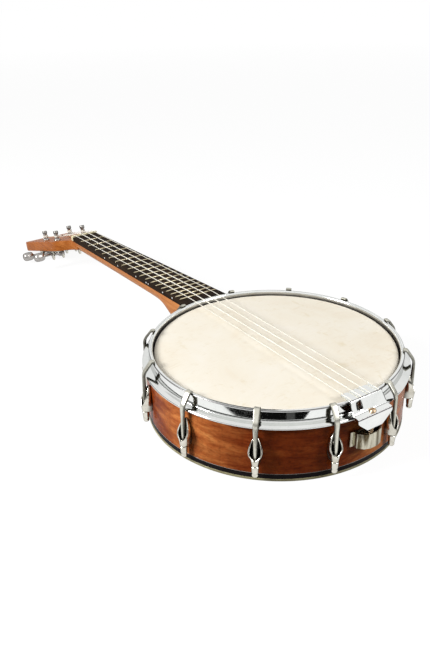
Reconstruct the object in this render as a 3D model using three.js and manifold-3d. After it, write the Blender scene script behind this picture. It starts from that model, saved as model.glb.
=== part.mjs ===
// A banjo ukulele, in millimetres. The head lies level: +Z points out of it, +X runs along the neck to the
// headstock and +Y to the bass side. Heights called rise or drop are measured from the top of the head.
import * as THREE from "three";
import { mergeVertices } from "three/addons/utils/BufferGeometryUtils.js";
import Module from "manifold-3d";

const wasm = await Module();
wasm.setup();

// General clearances and facets
const seatGap = 0.3; // between pieces that sit on or in each other
const overrun = 2; // how far a cutting tool runs past the piece that it cuts
const potSides = 60;
const rodSides = 8;
const turnedSides = 10;
const hexSides = 6;

// Pot: a wooden rim with a skin head, held down by a tension hoop
const rimRadius = 105.3;
const rimWall = 11;
const potDepth = 54.5;
const skinThickness = 0.6;
const fleshHoopSize = 3.2;
const tensionTravel = 0.9; // room left between the hoop and the rim's ledge
const hoopInset = 6.2; // of its inner face from the rim's outer face
const hoopBand = 3.9;
const hoopRise = 3.8;
const hoopEdge = 0.5;
const hoopDrop = 9;
const flangeOverhang = 2.7; // of the hoop's rounded foot beyond the rim
const flangeHeight = 6.2;
const flangeShares = [
  [0, 1],
  [0.44, 0.95],
  [0.86, 0.74],
  [1, 0.5],
  [0.92, 0.16],
  [0.74, 0],
];
const bearingShare = 0.55; // of the rim's lip that is flat under the skin
const bearingDrop = 1.4;

// Hooks, shoes and barrel nuts: one of each at every fastening place round the rim
const hookCount = 12;
const firstHookAngle = Math.PI / hookCount; // so that the neck and the tailpiece fall between two hooks
const hookGap = 0.4; // between the rods and the hoop's foot
const rodRadius = 1.6;
const clawThickness = 1.5;
const clawWidth = 4.6;
const bendSteps = 4;
const clawReach = 9.2; // inward from the rod's axis
const clawBend = 2.2; // radius of its middle line over the hoop's edge
const clawTaper = 22; // height over which the claw narrows to the rod
const hookLean = THREE.MathUtils.degToRad(36); // outward, from the hoop's edge to the rod's axis
const hookEndRoom = 1.2; // below the rod, in its nut's bore
const shoeTopDrop = 15.4;
const shoeHeight = 22.3;
const shoeCollarHeight = 5.3; // closed lower end that the rod goes through
const shoeWidth = 10.4;
const shoeWall = 1.3;
const shoeCollarWall = 1.7; // outside the rod's hole
const shoeLip = 2; // thickness of the shoe's pointed top
const shoeBoltRadius = 1.7;
const shoeBoltPlace = 10.1; // below the shoe's top
const shoeWasherRadius = 4;
const shoeWasher = 0.8;
const shoeBoltHead = 2.2;
const shoeBoltHeadRadius = 3;
const shoeOutlineShares = [
  [0, 0],
  [0.3, 0.09],
  [0.62, 0.24],
  [0.9, 0.4],
  [1, 0.58],
  [0.92, 0.74],
  [0.7, 0.88],
  [0.62, 1],
];
const barrelRadius = 2.85;
const barrelLength = 9.8;
const barrelRound = 1;
const barrelCrown = 1.2; // solid metal below the blind bore

// Neck, fingerboard and string nut
const scaleLength = 381;
const fretCount = 18;
const semitones = 12; // in an octave, which halves the string
const lastFretPlace = 12.22; // from the fingerboard's end at the hoop
const neckSlope = THREE.MathUtils.degToRad(3.26); // down towards the headstock
const neckTopDrop = 1.6; // of the wood under the fingerboard, at the hoop
const boardThickness = 4.7;
const boardWidthAtPot = 42.4;
const boardWidthAtNut = 31.1;
const fretWidth = 2;
const fretHeight = 0.9;
const fretCrownShare = 0.5; // of a fret's width that is flat on top
const fretTang = 0.5;
const fretInset = 0.4;
const nutThickness = 5;
const nutHeight = 1.7; // above the fingerboard
const nutSlotDepth = 0.5;
const heelRise = 2.2; // the heel stops this far above the rim's lower edge
const neckDepthShares = [
  [0, 1],
  [0.073, 0.97],
  [0.086, 0.89],
  [0.104, 0.78],
  [0.126, 0.66],
  [0.152, 0.56],
  [0.182, 0.48],
  [0.215, 0.43],
  [0.25, 0.41],
  [0.33, 0.4],
  [0.68, 0.375],
  [1, 0.36],
]; // [share of the neck's length from the pot, share of the heel's depth]
const shaftDepthShare = 0.4; // up to which the section counts as the shaft's
const shaftFullness = 3; // exponent of the shaft's rounded back
const heelFullness = 1.9;
const neckSectionSides = 16;

// Headstock
const headstockTilt = THREE.MathUtils.degToRad(13.2); // back from the neck's line
const headstockStep = 3.2; // its face lies this far below the fingerboard's top at the nut
const headstockLength = 133;
const headstockThickness = 11.5;
const headstockOutlineShares = [
  [-0.11, 0.262],
  [0.02, 0.264],
  [0.09, 0.28],
  [0.15, 0.33],
  [0.21, 0.41],
  [0.27, 0.45],
  [0.36, 0.462],
  [0.7, 0.478],
  [0.96, 0.5],
  [1, 0.488],
]; // [share of the length, share of the tip's width]
const headstockTipWidth = 59.4;
const headstockCrown = 3; // bulge of the tip's end

// Dowel stick through the pot, glued into the heel
const dowelWidth = 18;
const dowelDrop = 29;
const dowelTenon = 15;

// Tuners: two geared machines on one plate on each side of the headstock
const tunerShares = [
  { place: "tip", alongShare: 0.664, outShare: 0.276 },
  { place: "nut", alongShare: 0.35, outShare: 0.293 },
]; // of the headstock's length and of its tip's width
const tunerPlateThickness = 1;
const tunerPlateWidth = 14;
const tunerPlateMargin = 9; // beyond the outermost parts of its machines
const sleeveRadius = 4;
const postRadius = 3;
const postCollarRadius = 3.9;
const postCollarHeight = 1.5;
const postCollarRise = 0.6; // of the collar's underside above the headstock's face
const postWaistRadius = 2.2;
const postWaistHeight = 6.05; // room for the string's turns
const postHeadRadius = 2.9;
const postHeadHeight = 3.6;
const postHoleRadius = 0.8;
const gearTeeth = 15;
const gearRadius = 5.4;
const gearToothDepth = 0.8;
const gearToothShares = [
  [-0.125, 0],
  [0.125, 0],
  [0.375, 1],
  [0.625, 1],
]; // [share of the pitch, share of the tooth's depth]
const gearThickness = 3.2;
const gearScrewRadius = 2.4;
const gearScrewHeight = 1.4;
const wormRadius = 2.6;
const wormShaftRadius = 1.4;
const earThickness = 1.3;
const earHalfWidth = 4;
const earDrop = 7.4; // of the ears' lower ends below the worm's axis
const buttonPlace = 41; // middle of the button, out from the headstock's centre line
const buttonLength = 13.8;
const buttonRadius = 5.3;
const buttonSides = 18;
const buttonProfileShares = [
  [0.34, 0],
  [0.42, 0.1],
  [0.8, 0.16],
  [1, 0.3],
  [1, 0.72],
  [0.86, 0.9],
  [0.5, 1],
];

// Tailpiece, its bracket on the rim and the screw that holds one to the other
const tailplateThickness = 1;
const tailLipOverhang = 7.1; // in from the hoop to the lip's free edge
const tailLipWidth = 29;
const tailCreaseGap = 0.2; // out from the hoop
const tailPlateWidth = 32.5;
const tailWebGap = 0.8; // between its foot's middle line and the hoop's foot
const tailShelfRise = 5.1; // above the hoop's lower edge
const tailFlapGap = 4.1; // between the flap's lower edge and the bracket's top
const tailFlapWidth = 14;
const tailFlapCornerShare = 0.72;
const tailWindowPlace = 8;
const tailWindowWidth = 5.2;
const tailWindowShares = [0.22, 0.68]; // of the sloping web, from its crease down
const bracketHeight = 13.7;
const bracketBoltPlace = 4.2; // above the bracket's bottom
const bracketHalfWidth = 12;
const bracketRoom = 0.9; // between the screw's hole and the cup's wall
const bracketWall = 1.5;
const bracketSides = 24;
const bracketFootWidth = 29;
const tailBoltRadius = 2;
const tailBoltHeadRadius = 3.6;
const tailBoltHead = 2;
const tailBoltDepth = 12; // into the dowel stick
const hangerRadius = 1.6;
const hangerHeadRadius = 2.5;
const hangerHead = 1.8;
const hangerPoint = 3; // below the bracket

// Strings, from the bass side to the treble side
const gStringDiameter = 0.66;
const cStringDiameter = 0.91;
const eStringDiameter = 0.81;
const aStringDiameter = 0.6;
const strings = [
  { name: "string_4_g", diameter: gStringDiameter },
  { name: "string_3_c", diameter: cStringDiameter },
  { name: "string_2_e", diameter: eStringDiameter },
  { name: "string_1_a", diameter: aStringDiameter },
];
const stringSpacingAtNut = 8.1;
const stringSpacingAtTail = 8.7;
const stringTurns = 2.5;
const turnSteps = 12;
const coilGap = 0.47; // from one turn to the next
const stringSides = 5;

// Sizes that follow from those above
const rimInnerRadius = rimRadius - rimWall;
const hoopInnerRadius = rimRadius - hoopInset;
const hoopOuterRadius = hoopInnerRadius + hoopBand;
const flangeRadius = rimRadius + flangeOverhang;
const flangeReach = flangeRadius - hoopOuterRadius;
const skinRadius = hoopInnerRadius - seatGap;
const fleshOuterRadius = skinRadius + fleshHoopSize;
const lipRadius = skinRadius - skinThickness - seatGap;
const bearingWidth = (lipRadius - rimInnerRadius) * bearingShare;
const ledgeDrop = hoopDrop + tensionTravel;
const hookRadius = flangeRadius + hookGap + rodRadius;
const rodHoleRadius = rodRadius + seatGap;
const shoeReach = hookRadius + rodHoleRadius + shoeCollarWall - rimRadius - seatGap;
const shoeBottomDrop = shoeTopDrop + shoeHeight;
const shoeCupDrop = shoeBottomDrop - shoeCollarHeight;
const shoeBoltDrop = shoeTopDrop + shoeBoltPlace;
const barrelTopDrop = shoeBottomDrop + seatGap;
const barrelBottomDrop = barrelTopDrop + barrelLength;
const hookDrop = barrelBottomDrop - barrelCrown - hookEndRoom;
const neckLength = lastFretPlace + scaleLength * (1 - 2 ** (-fretCount / semitones));
const boardRise = boardThickness + seatGap - neckTopDrop;
const heelDepth = potDepth + boardRise - heelRise;
const stringMaxRadius = Math.max(...strings.map((string) => string.diameter)) / 2;
const tunerPlaces = tunerShares.map(({ place, alongShare, outShare }) => ({
  place,
  along: alongShare * headstockLength,
  out: outShare * headstockTipWidth,
}));
const tuneAxisDrop = headstockThickness + seatGap + tunerPlateThickness + seatGap + wormRadius;
const wormOffset = gearRadius + seatGap + wormRadius;
const postWaistRise = postCollarRise + postCollarHeight;
const postRise = postWaistRise + postWaistHeight + postHeadHeight;
const tailLipReach = hoopInnerRadius - tailLipOverhang;
const tailLipTop = hoopRise + seatGap + tailplateThickness;
const tailCreaseReach = hoopOuterRadius + tailCreaseGap;
const tailShelfReach = flangeRadius + tailWebGap;
const tailShelfDrop = hoopDrop - tailShelfRise;
const tailShelfWidth = 2 * hangerHeadRadius;
const hangerReach = tailShelfReach + hangerHeadRadius;
const hangerHoleRadius = hangerRadius + seatGap;
const bracketReach = hangerReach + hangerHoleRadius + bracketRoom + bracketWall - rimRadius - seatGap;
const bracketBottomDrop = dowelDrop + bracketBoltPlace;
const bracketTopDrop = bracketBottomDrop - bracketHeight;
const tailFlapDrop = bracketTopDrop - tailFlapGap;

const colours = {
  mahogany: { color: 0x8a3a1c, roughness: 0.25, metalness: 0 },
  neckWood: { color: 0xb8703c, roughness: 0.45, metalness: 0 },
  ebony: { color: 0x221a17, roughness: 0.5, metalness: 0 },
  skin: { color: 0xf3e7cd, roughness: 0.6, metalness: 0 },
  bone: { color: 0xe9dfc0, roughness: 0.4, metalness: 0 },
  chrome: { color: 0xd8dadd, roughness: 0.08, metalness: 1 },
  nickel: { color: 0xb9b5a8, roughness: 0.3, metalness: 1 },
  brass: { color: 0xc09a55, roughness: 0.35, metalness: 1 },
  nylon: { color: 0xf4f1e8, roughness: 0.35, metalness: 0 },
};
const materials = {};
for (const [name, finish] of Object.entries(colours)) {
  materials[name] = new THREE.MeshStandardMaterial({ name, ...finish });
}

// Solids and meshes
function solidOf(geometry) {
  const bare = geometry.index ? geometry.toNonIndexed() : geometry.clone();
  bare.deleteAttribute("normal");
  bare.deleteAttribute("uv");
  const merged = mergeVertices(bare);
  const triVerts = new Uint32Array(merged.index.array);
  const vertProperties = merged.getAttribute("position").array;
  return new wasm.Manifold(new wasm.Mesh({ numProp: 3, vertProperties, triVerts }));
}

function geometryOf(solid) {
  const { numProp, vertProperties, triVerts } = solid.getMesh();
  const geometry = new THREE.BufferGeometry();
  const positions = new Float32Array((vertProperties.length / numProp) * 3);
  for (let i = 0; i < positions.length / 3; i++) {
    positions.set(vertProperties.subarray(i * numProp, i * numProp + 3), i * 3);
  }
  geometry.setAttribute("position", new THREE.BufferAttribute(positions, 3));
  geometry.setIndex(new THREE.BufferAttribute(new Uint32Array(triVerts), 1));
  geometry.computeVertexNormals();
  return geometry;
}

function joined(first, ...others) {
  return others.reduce((whole, other) => whole.add(solidOf(other)), solidOf(first));
}

function cut(whole, ...tools) {
  return tools.reduce((left, tool) => left.subtract(solidOf(tool)), whole);
}

function meshOf(name, shape, material) {
  const geometry = shape.isBufferGeometry ? shape : geometryOf(shape);
  const mesh = new THREE.Mesh(geometry, materials[material]);
  mesh.name = name;
  return mesh;
}

// Shapes
function outlineOf(points) {
  return new THREE.Shape(points.map(([a, b]) => new THREE.Vector2(a, b)));
}

// A flat plate whose outline lies in X and Y, rising from z = 0.
function slab(points, thickness) {
  return new THREE.ExtrudeGeometry(outlineOf(points), { depth: thickness, bevelEnabled: false });
}

// An outline in X and Z, run across Y with its middle at y = 0.
function profileAcross(points, width) {
  const geometry = slab(points, width);
  geometry.rotateX(Math.PI / 2);
  return geometry.translate(0, width / 2, 0);
}

// An outline in Y and Z, run along X from start to end.
function profileAlong(points, start, end) {
  const geometry = slab(points, end - start);
  const turn = new THREE.Matrix4().makeBasis(
    new THREE.Vector3(0, 1, 0),
    new THREE.Vector3(0, 0, 1),
    new THREE.Vector3(1, 0, 0),
  );
  return geometry.applyMatrix4(turn).translate(start, 0, 0);
}

function block(low, high) {
  const size = high.map((value, i) => value - low[i]);
  const middle = high.map((value, i) => (value + low[i]) / 2);
  return new THREE.BoxGeometry(...size).translate(...middle);
}

// A profile of [radius, height] points, turned about Z. It closes on itself where it stays off the axis.
function turned(profile, sides) {
  const points = profile.map(([radius, height]) => new THREE.Vector2(radius, height));
  if (THREE.ShapeUtils.isClockWise(points)) points.reverse();
  const onAxis = points.findIndex((point, i) => point.x === 0 && points[(i + 1) % points.length].x === 0);
  const opened = [...points.slice(onAxis + 1), ...points.slice(0, onAxis + 1)];
  return new THREE.LatheGeometry(onAxis < 0 ? [...points, points[0]] : opened, sides).rotateX(Math.PI / 2);
}

function rodUp(radius, bottom, top, sides) {
  return turned([[0, bottom], [radius, bottom], [radius, top], [0, top]], sides);
}

// The same, lying along X or Y.
function rodAlong(radius, start, end, sides) {
  return rodUp(radius, start, end, sides).rotateY(Math.PI / 2);
}

function rodAcross(radius, start, end, sides) {
  return rodUp(radius, start, end, sides).rotateX(-Math.PI / 2);
}

// A curve through given points, straight between them, with a step of the tube at each point.
class Route extends THREE.Curve {
  constructor(points) {
    super();
    this.points = points;
  }
  getPoint(share, target = new THREE.Vector3()) {
    const last = this.points.length - 1;
    const at = THREE.MathUtils.clamp(share, 0, 1) * last;
    const from = Math.min(Math.floor(at), last - 1);
    return target.lerpVectors(this.points[from], this.points[from + 1], at - from);
  }
  getPointAt(share, target) {
    return this.getPoint(share, target);
  }
  getTangentAt(share, target) {
    return this.getTangent(share, target);
  }
}

function roundSection(radius, sides) {
  const corners = [];
  for (let i = 0; i < sides; i++) {
    const angle = (i / sides) * 2 * Math.PI;
    corners.push([radius * Math.cos(angle), radius * Math.sin(angle)]);
  }
  return outlineOf(corners);
}

function tube(points, radius, sides) {
  const extrudePath = new Route(points);
  const steps = points.length - 1;
  return new THREE.ExtrudeGeometry(roundSection(radius, sides), { extrudePath, steps, bevelEnabled: false });
}

// A closed skin through sections. place(share along, angle, share out) gives each of its points.
function loft(around, along, place) {
  const blank = new THREE.CylinderGeometry(1, 1, 1, around, along);
  const position = blank.getAttribute("position");
  for (let i = 0; i < position.count; i++) {
    const out = Math.hypot(position.getX(i), position.getZ(i));
    const angle = Math.atan2(-position.getZ(i), position.getX(i));
    position.setXYZ(i, ...place(position.getY(i) + 1 / 2, angle, out));
  }
  return blank;
}

// Pot
function hookAngles() {
  return Array.from({ length: hookCount }, (_, i) => firstHookAngle + (i / hookCount) * 2 * Math.PI);
}

function rimSolid() {
  const lipTop = -skinThickness - seatGap;
  const profile = [
    [rimInnerRadius, -potDepth],
    [rimRadius, -potDepth],
    [rimRadius, -ledgeDrop],
    [lipRadius, -ledgeDrop],
    [lipRadius, lipTop - bearingDrop],
    [rimInnerRadius + bearingWidth, lipTop],
    [rimInnerRadius, lipTop],
  ];
  const boltHoles = hookAngles().map((angle) => {
    const hole = rodAlong(shoeBoltRadius + seatGap, rimInnerRadius - overrun, rimRadius + overrun, rodSides);
    return hole.translate(0, 0, -shoeBoltDrop).rotateZ(angle);
  });
  const half = dowelWidth / 2 + seatGap;
  const mortise = block([0, -half, -dowelDrop - half], [rimRadius + overrun, half, -dowelDrop + half]);
  const tailHole = rodAlong(tailBoltRadius + seatGap, -rimRadius - overrun, 0, rodSides);
  tailHole.translate(0, 0, -dowelDrop);
  return cut(solidOf(turned(profile, potSides)), ...boltHoles, mortise, tailHole);
}

function headGeometry() {
  const profile = [
    [0, 0],
    [skinRadius - skinThickness, 0],
    [skinRadius, -skinThickness],
    [skinRadius, fleshHoopSize - hoopDrop],
    [fleshOuterRadius, fleshHoopSize - hoopDrop],
    [fleshOuterRadius, -hoopDrop],
    [skinRadius - skinThickness, -hoopDrop],
    [skinRadius - skinThickness, -skinThickness],
    [0, -skinThickness],
  ];
  return turned(profile, potSides);
}

function hoopGeometry() {
  const pocketTop = fleshHoopSize + seatGap - hoopDrop;
  const foot = flangeShares.map(([out, up]) => [
    hoopOuterRadius + out * flangeReach,
    up * flangeHeight - hoopDrop,
  ]);
  const profile = [
    [hoopInnerRadius, pocketTop],
    [hoopInnerRadius, hoopRise - hoopEdge],
    [hoopInnerRadius + hoopEdge, hoopRise],
    [hoopOuterRadius - hoopEdge, hoopRise],
    [hoopOuterRadius, hoopRise - hoopEdge],
    ...foot,
    [fleshOuterRadius + seatGap, -hoopDrop],
    [fleshOuterRadius + seatGap, pocketTop],
  ];
  return turned(profile, potSides);
}

// Hooks, shoes and barrel nuts stand at x = their radius and are turned into place about the pot's axis.
// The bar's middle line and half its thickness and width, from the claw's tip to the rod's lower end.
function hookStations() {
  const clawHeight = hoopRise + seatGap + clawThickness / 2;
  const line = [[hookRadius - clawReach, clawHeight]];
  for (let i = 0; i <= bendSteps; i++) {
    const angle = THREE.MathUtils.lerp(Math.PI / 2, hookLean, i / bendSteps);
    const x = hoopOuterRadius - hoopEdge + clawBend * Math.cos(angle);
    line.push([x, clawHeight - clawBend + clawBend * Math.sin(angle)]);
  }
  const [leanX, leanZ] = line.at(-1);
  line.push([hookRadius, leanZ - (hookRadius - leanX) / Math.tan(hookLean)]);
  line.push([hookRadius, clawHeight - clawTaper], [hookRadius, -hookDrop]);
  return line.map(([x, z]) => {
    const taper = THREE.MathUtils.clamp((clawHeight - z) / clawTaper, 0, 1);
    const thick = THREE.MathUtils.lerp(clawThickness / 2, rodRadius, taper);
    return { x, z, thick, wide: THREE.MathUtils.lerp(clawWidth / 2, rodRadius, taper) };
  });
}

function hookGeometry() {
  const stations = hookStations();
  const last = stations.length - 1;
  return loft(rodSides, last, (share, angle, out) => {
    const at = Math.round(share * last);
    const { x, z, thick, wide } = stations[at];
    const [before, after] = [stations[Math.max(at - 1, 0)], stations[Math.min(at + 1, last)]];
    const along = new THREE.Vector2(after.x - before.x, after.z - before.z).normalize();
    const up = Math.sin(angle) * thick * out;
    return [x - along.y * up, Math.cos(angle) * wide * out, z + along.x * up];
  });
}

function shoeOutline(inset) {
  const height = shoeBottomDrop - shoeTopDrop - inset;
  const half = shoeWidth / 2 - inset;
  const right = shoeOutlineShares.map(([out, down]) => [out * half, -shoeTopDrop - inset - down * height]);
  const left = right.slice(1).map(([y, z]) => [-y, z]);
  return [...right, ...left.reverse()];
}

function shoeSolid() {
  const back = rimRadius + seatGap;
  const front = back + shoeReach;
  const side = [
    [back - overrun, -shoeTopDrop + overrun],
    [back + shoeLip, -shoeTopDrop + overrun],
    [back + shoeLip, -shoeTopDrop],
    [front, -shoeCupDrop + shoeWall],
    [front, -shoeCupDrop],
    [front - shoeWall, -shoeBottomDrop],
    [back - overrun, -shoeBottomDrop],
  ];
  const outer = solidOf(profileAlong(shoeOutline(0), back - shoeLip, front));
  const shell = outer.intersect(solidOf(profileAcross(side, shoeWidth + overrun)));
  const pocket = solidOf(profileAlong(shoeOutline(shoeWall), back + shoeWall, front + overrun));
  const collar = block(
    [back - shoeLip, -shoeWidth, -shoeBottomDrop - overrun],
    [front, shoeWidth, -shoeCupDrop],
  );
  const rodHole = rodUp(rodHoleRadius, -shoeBottomDrop - overrun, -shoeTopDrop, turnedSides);
  const rimSpace = rodUp(back, -potDepth, 0, potSides);
  const bare = shell.subtract(pocket.subtract(solidOf(collar)));
  const scoop = cut(bare, rodHole.translate(hookRadius, 0, 0), rimSpace);
  const boltInside = rimInnerRadius - seatGap;
  const bolt = rodAlong(shoeBoltRadius, boltInside - overrun, back + shoeWall, rodSides);
  const washer = rodAlong(shoeWasherRadius, boltInside - shoeWasher, boltInside, turnedSides);
  const boltHead = rodAlong(shoeBoltHeadRadius, boltInside - shoeWasher - shoeBoltHead, boltInside, hexSides);
  const fastener = joined(bolt, washer, boltHead).translate([0, 0, -shoeBoltDrop]);
  return scoop.add(fastener);
}

function barrelGeometry() {
  const boreBottom = barrelCrown - barrelBottomDrop;
  const profile = [
    [0, -barrelBottomDrop],
    [barrelRadius - barrelRound, -barrelBottomDrop],
    [barrelRadius, barrelRound - barrelBottomDrop],
    [barrelRadius, -barrelTopDrop],
    [rodHoleRadius, -barrelTopDrop],
    [rodHoleRadius, boreBottom],
    [0, boreBottom],
  ];
  return turned(profile, turnedSides).translate(hookRadius, 0, 0);
}

// Frames of the neck and the headstock. The neck's starts at the hoop on the fingerboard's top, its X running
// along the board; the headstock's starts at the fingerboard's nut end on its own face.
const neckGroup = new THREE.Group();
neckGroup.position.set(hoopOuterRadius + seatGap, 0, boardRise);
neckGroup.rotation.y = neckSlope;
const headstockGroup = new THREE.Group();
headstockGroup.position.set(neckLength, 0, -headstockStep);
headstockGroup.rotation.y = headstockTilt;
neckGroup.add(headstockGroup);
neckGroup.updateMatrixWorld(true);
const neckFrame = neckGroup.matrixWorld.clone();
const headstockFrame = headstockGroup.matrixWorld.clone();

function boardWidthAt(along) {
  return THREE.MathUtils.mapLinear(along, 0, neckLength, boardWidthAtPot, boardWidthAtNut);
}

// Where the board and the neck would start, far enough into the pot's space to be cut to its curve.
function neckStart() {
  const halfWidth = boardWidthAtPot / 2;
  return Math.sqrt(hoopOuterRadius ** 2 - halfWidth ** 2) - hoopOuterRadius - overrun;
}

function fretPlace(number) {
  return neckLength - scaleLength * (1 - 2 ** (-number / semitones));
}

// The space that the hoop and the rim take, as the neck's pieces see it.
function potSpace() {
  const top = boardRise + overrun;
  const profile = [
    [0, top],
    [0, -potDepth - overrun],
    [rimRadius + seatGap, -potDepth - overrun],
    [rimRadius + seatGap, -hoopDrop - seatGap],
    [flangeRadius + seatGap, -hoopDrop - seatGap],
    [flangeRadius + seatGap, flangeHeight - hoopDrop + seatGap],
    [hoopOuterRadius + seatGap, flangeHeight - hoopDrop + seatGap],
    [hoopOuterRadius + seatGap, top],
  ];
  return turned(profile, potSides).applyMatrix4(neckFrame.clone().invert());
}

function fingerboardSolid() {
  const start = neckStart();
  const [wide, narrow] = [boardWidthAt(start) / 2, boardWidthAt(neckLength) / 2];
  const corners = [[start, -wide], [neckLength, -narrow], [neckLength, narrow], [start, wide]];
  const board = slab(corners, boardThickness);
  board.translate(0, 0, -boardThickness);
  const frets = [];
  for (let number = 1; number <= fretCount; number++) {
    const section = [
      [-fretWidth / 2, -fretTang],
      [fretWidth / 2, -fretTang],
      [fretWidth / 2, 0],
      [(fretWidth / 2) * fretCrownShare, fretHeight],
      [(-fretWidth / 2) * fretCrownShare, fretHeight],
      [-fretWidth / 2, 0],
    ];
    const place = fretPlace(number);
    frets.push(profileAcross(section, boardWidthAt(place) - fretInset * 2).translate(place, 0, 0));
  }
  return cut(joined(board, ...frets), potSpace());
}

function stringPlaces(spacing) {
  return strings.map((_, i) => ((strings.length - 1) / 2 - i) * spacing);
}

function nutSolid() {
  const half = boardWidthAtNut / 2;
  const end = neckLength + nutThickness;
  const body = block([neckLength + seatGap, -half, -boardThickness], [end, half, nutHeight]);
  const slots = stringPlaces(stringSpacingAtNut).map((place, i) => {
    const halfSlot = strings[i].diameter / 2 + seatGap;
    return block(
      [neckLength - overrun, place - halfSlot, nutHeight - nutSlotDepth],
      [end + overrun, place + halfSlot, nutHeight + overrun],
    );
  });
  return cut(solidOf(body), ...slots);
}

// A point of the neck's section: flat on top under the board, full and round behind.
function neckPoint(share, angle, out) {
  const row = Math.round(share * (neckDepthShares.length - 1));
  const [alongShare, depthShare] = neckDepthShares[row];
  const along = row === 0 ? neckStart() : alongShare * neckLength;
  const top = -boardThickness - seatGap;
  const deepening = THREE.MathUtils.smoothstep(depthShare, shaftDepthShare, 1);
  const fullness = THREE.MathUtils.lerp(shaftFullness, heelFullness, deepening);
  const [side, up] = [Math.cos(angle), Math.sin(angle)];
  const rounded = (value) => Math.sign(value) * Math.abs(value) ** (2 / fullness);
  const y = rounded(side) * (boardWidthAt(along) / 2) * out;
  const depth = heelDepth * depthShare + top;
  return [along, y, up < 0 ? top - rounded(-up) * depth * out : top];
}

function headstockOutline() {
  const right = headstockOutlineShares.map(([along, across]) => [
    along * headstockLength,
    across * headstockTipWidth,
  ]);
  const left = right.map(([x, y]) => [x, -y]).reverse();
  return [...right, [headstockLength + headstockCrown, 0], ...left];
}

function neckSolid() {
  const shaft = loft(neckSectionSides, neckDepthShares.length - 1, neckPoint);
  const toNeck = headstockGroup.matrix;
  const head = slab(headstockOutline(), headstockThickness).translate(0, 0, -headstockThickness);
  const tunerHoles = tunerPlaces.flatMap(({ along, out }) =>
    [out, -out].map((across) => {
      const hole = rodUp(sleeveRadius + seatGap, -headstockThickness - overrun, overrun, turnedSides);
      return hole.translate(along, across, 0).applyMatrix4(toNeck);
    }),
  );
  const nutSeat = block(
    [-overrun, -boardWidthAtPot, -boardThickness - seatGap],
    [neckLength + nutThickness + seatGap, boardWidthAtPot, nutHeight + overrun],
  );
  const half = dowelWidth / 2 + seatGap;
  const mortise = block(
    [0, -half, -dowelDrop - half],
    [rimRadius + dowelTenon + seatGap, half, -dowelDrop + half],
  ).applyMatrix4(neckFrame.clone().invert());
  const headstock = cut(solidOf(head.applyMatrix4(toNeck)), nutSeat, ...tunerHoles);
  return cut(headstock.add(solidOf(shaft)), potSpace(), mortise);
}

function dowelSolid() {
  const half = dowelWidth / 2;
  const tailEnd = -Math.sqrt(rimInnerRadius ** 2 - half ** 2) + seatGap;
  const bar = block([tailEnd, -half, -dowelDrop - half], [rimRadius + dowelTenon, half, -dowelDrop + half]);
  const pilot = rodAlong(tailBoltRadius + seatGap, -rimRadius, tailEnd + tailBoltDepth, rodSides);
  return cut(solidOf(bar), pilot.translate(0, 0, -dowelDrop));
}

// Tuners, in the headstock's frame. side is 1 for the bass side and -1 for the treble side.
function gearOutline() {
  const corners = [];
  for (let tooth = 0; tooth < gearTeeth; tooth++) {
    for (const [turn, depthShare] of gearToothShares) {
      const radius = gearRadius - depthShare * gearToothDepth;
      const angle = ((tooth + turn) / gearTeeth) * 2 * Math.PI;
      corners.push([radius * Math.cos(angle), radius * Math.sin(angle)]);
    }
  }
  return corners;
}

function postSolid() {
  const gearTop = gearThickness / 2 - tuneAxisDrop;
  const gearBottom = gearTop - gearThickness;
  const waistTop = postWaistRise + postWaistHeight;
  const profile = [
    [0, gearBottom - gearScrewHeight],
    [gearScrewRadius, gearBottom - gearScrewHeight],
    [gearScrewRadius, gearBottom],
    [postRadius, gearBottom],
    [postRadius, postCollarRise],
    [postCollarRadius, postCollarRise],
    [postCollarRadius, postWaistRise],
    [postWaistRadius, postWaistRise],
    [postWaistRadius, waistTop],
    [postHeadRadius, (waistTop + postRise) / 2],
    [postHeadRadius, postRise - postHoleRadius],
    [postHeadRadius - postHoleRadius, postRise],
    [0, postRise],
  ];
  const gear = slab(gearOutline(), gearThickness).translate(0, 0, gearBottom);
  const stringHole = rodAcross(postHoleRadius, -postRadius - overrun, postRadius + overrun, rodSides);
  return cut(joined(turned(profile, turnedSides), gear), stringHole.translate(0, 0, waistTop));
}

// The worm's shaft runs along Y from the inner ear to the button.
function buttonSolid(out, side) {
  const inner = out - tunerPlateWidth / 2;
  const outer = out + tunerPlateWidth / 2;
  const buttonStart = buttonPlace - buttonLength / 2;
  const shaft = rodUp(wormShaftRadius, inner, buttonPlace, turnedSides);
  const worm = rodUp(wormRadius, inner + earThickness + seatGap, outer - earThickness - seatGap, turnedSides);
  const profile = buttonProfileShares.map(([across, along]) => [
    across * buttonRadius,
    buttonStart + along * buttonLength,
  ]);
  const start = [0, profile[0][1]];
  const end = [0, profile.at(-1)[1]];
  const button = turned([start, ...profile, end], buttonSides);
  const solid = joined(shaft, worm, button);
  const geometry = geometryOf(solid).rotateX(-Math.PI / 2);
  return side > 0 ? geometry : geometry.rotateZ(Math.PI);
}

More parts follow.
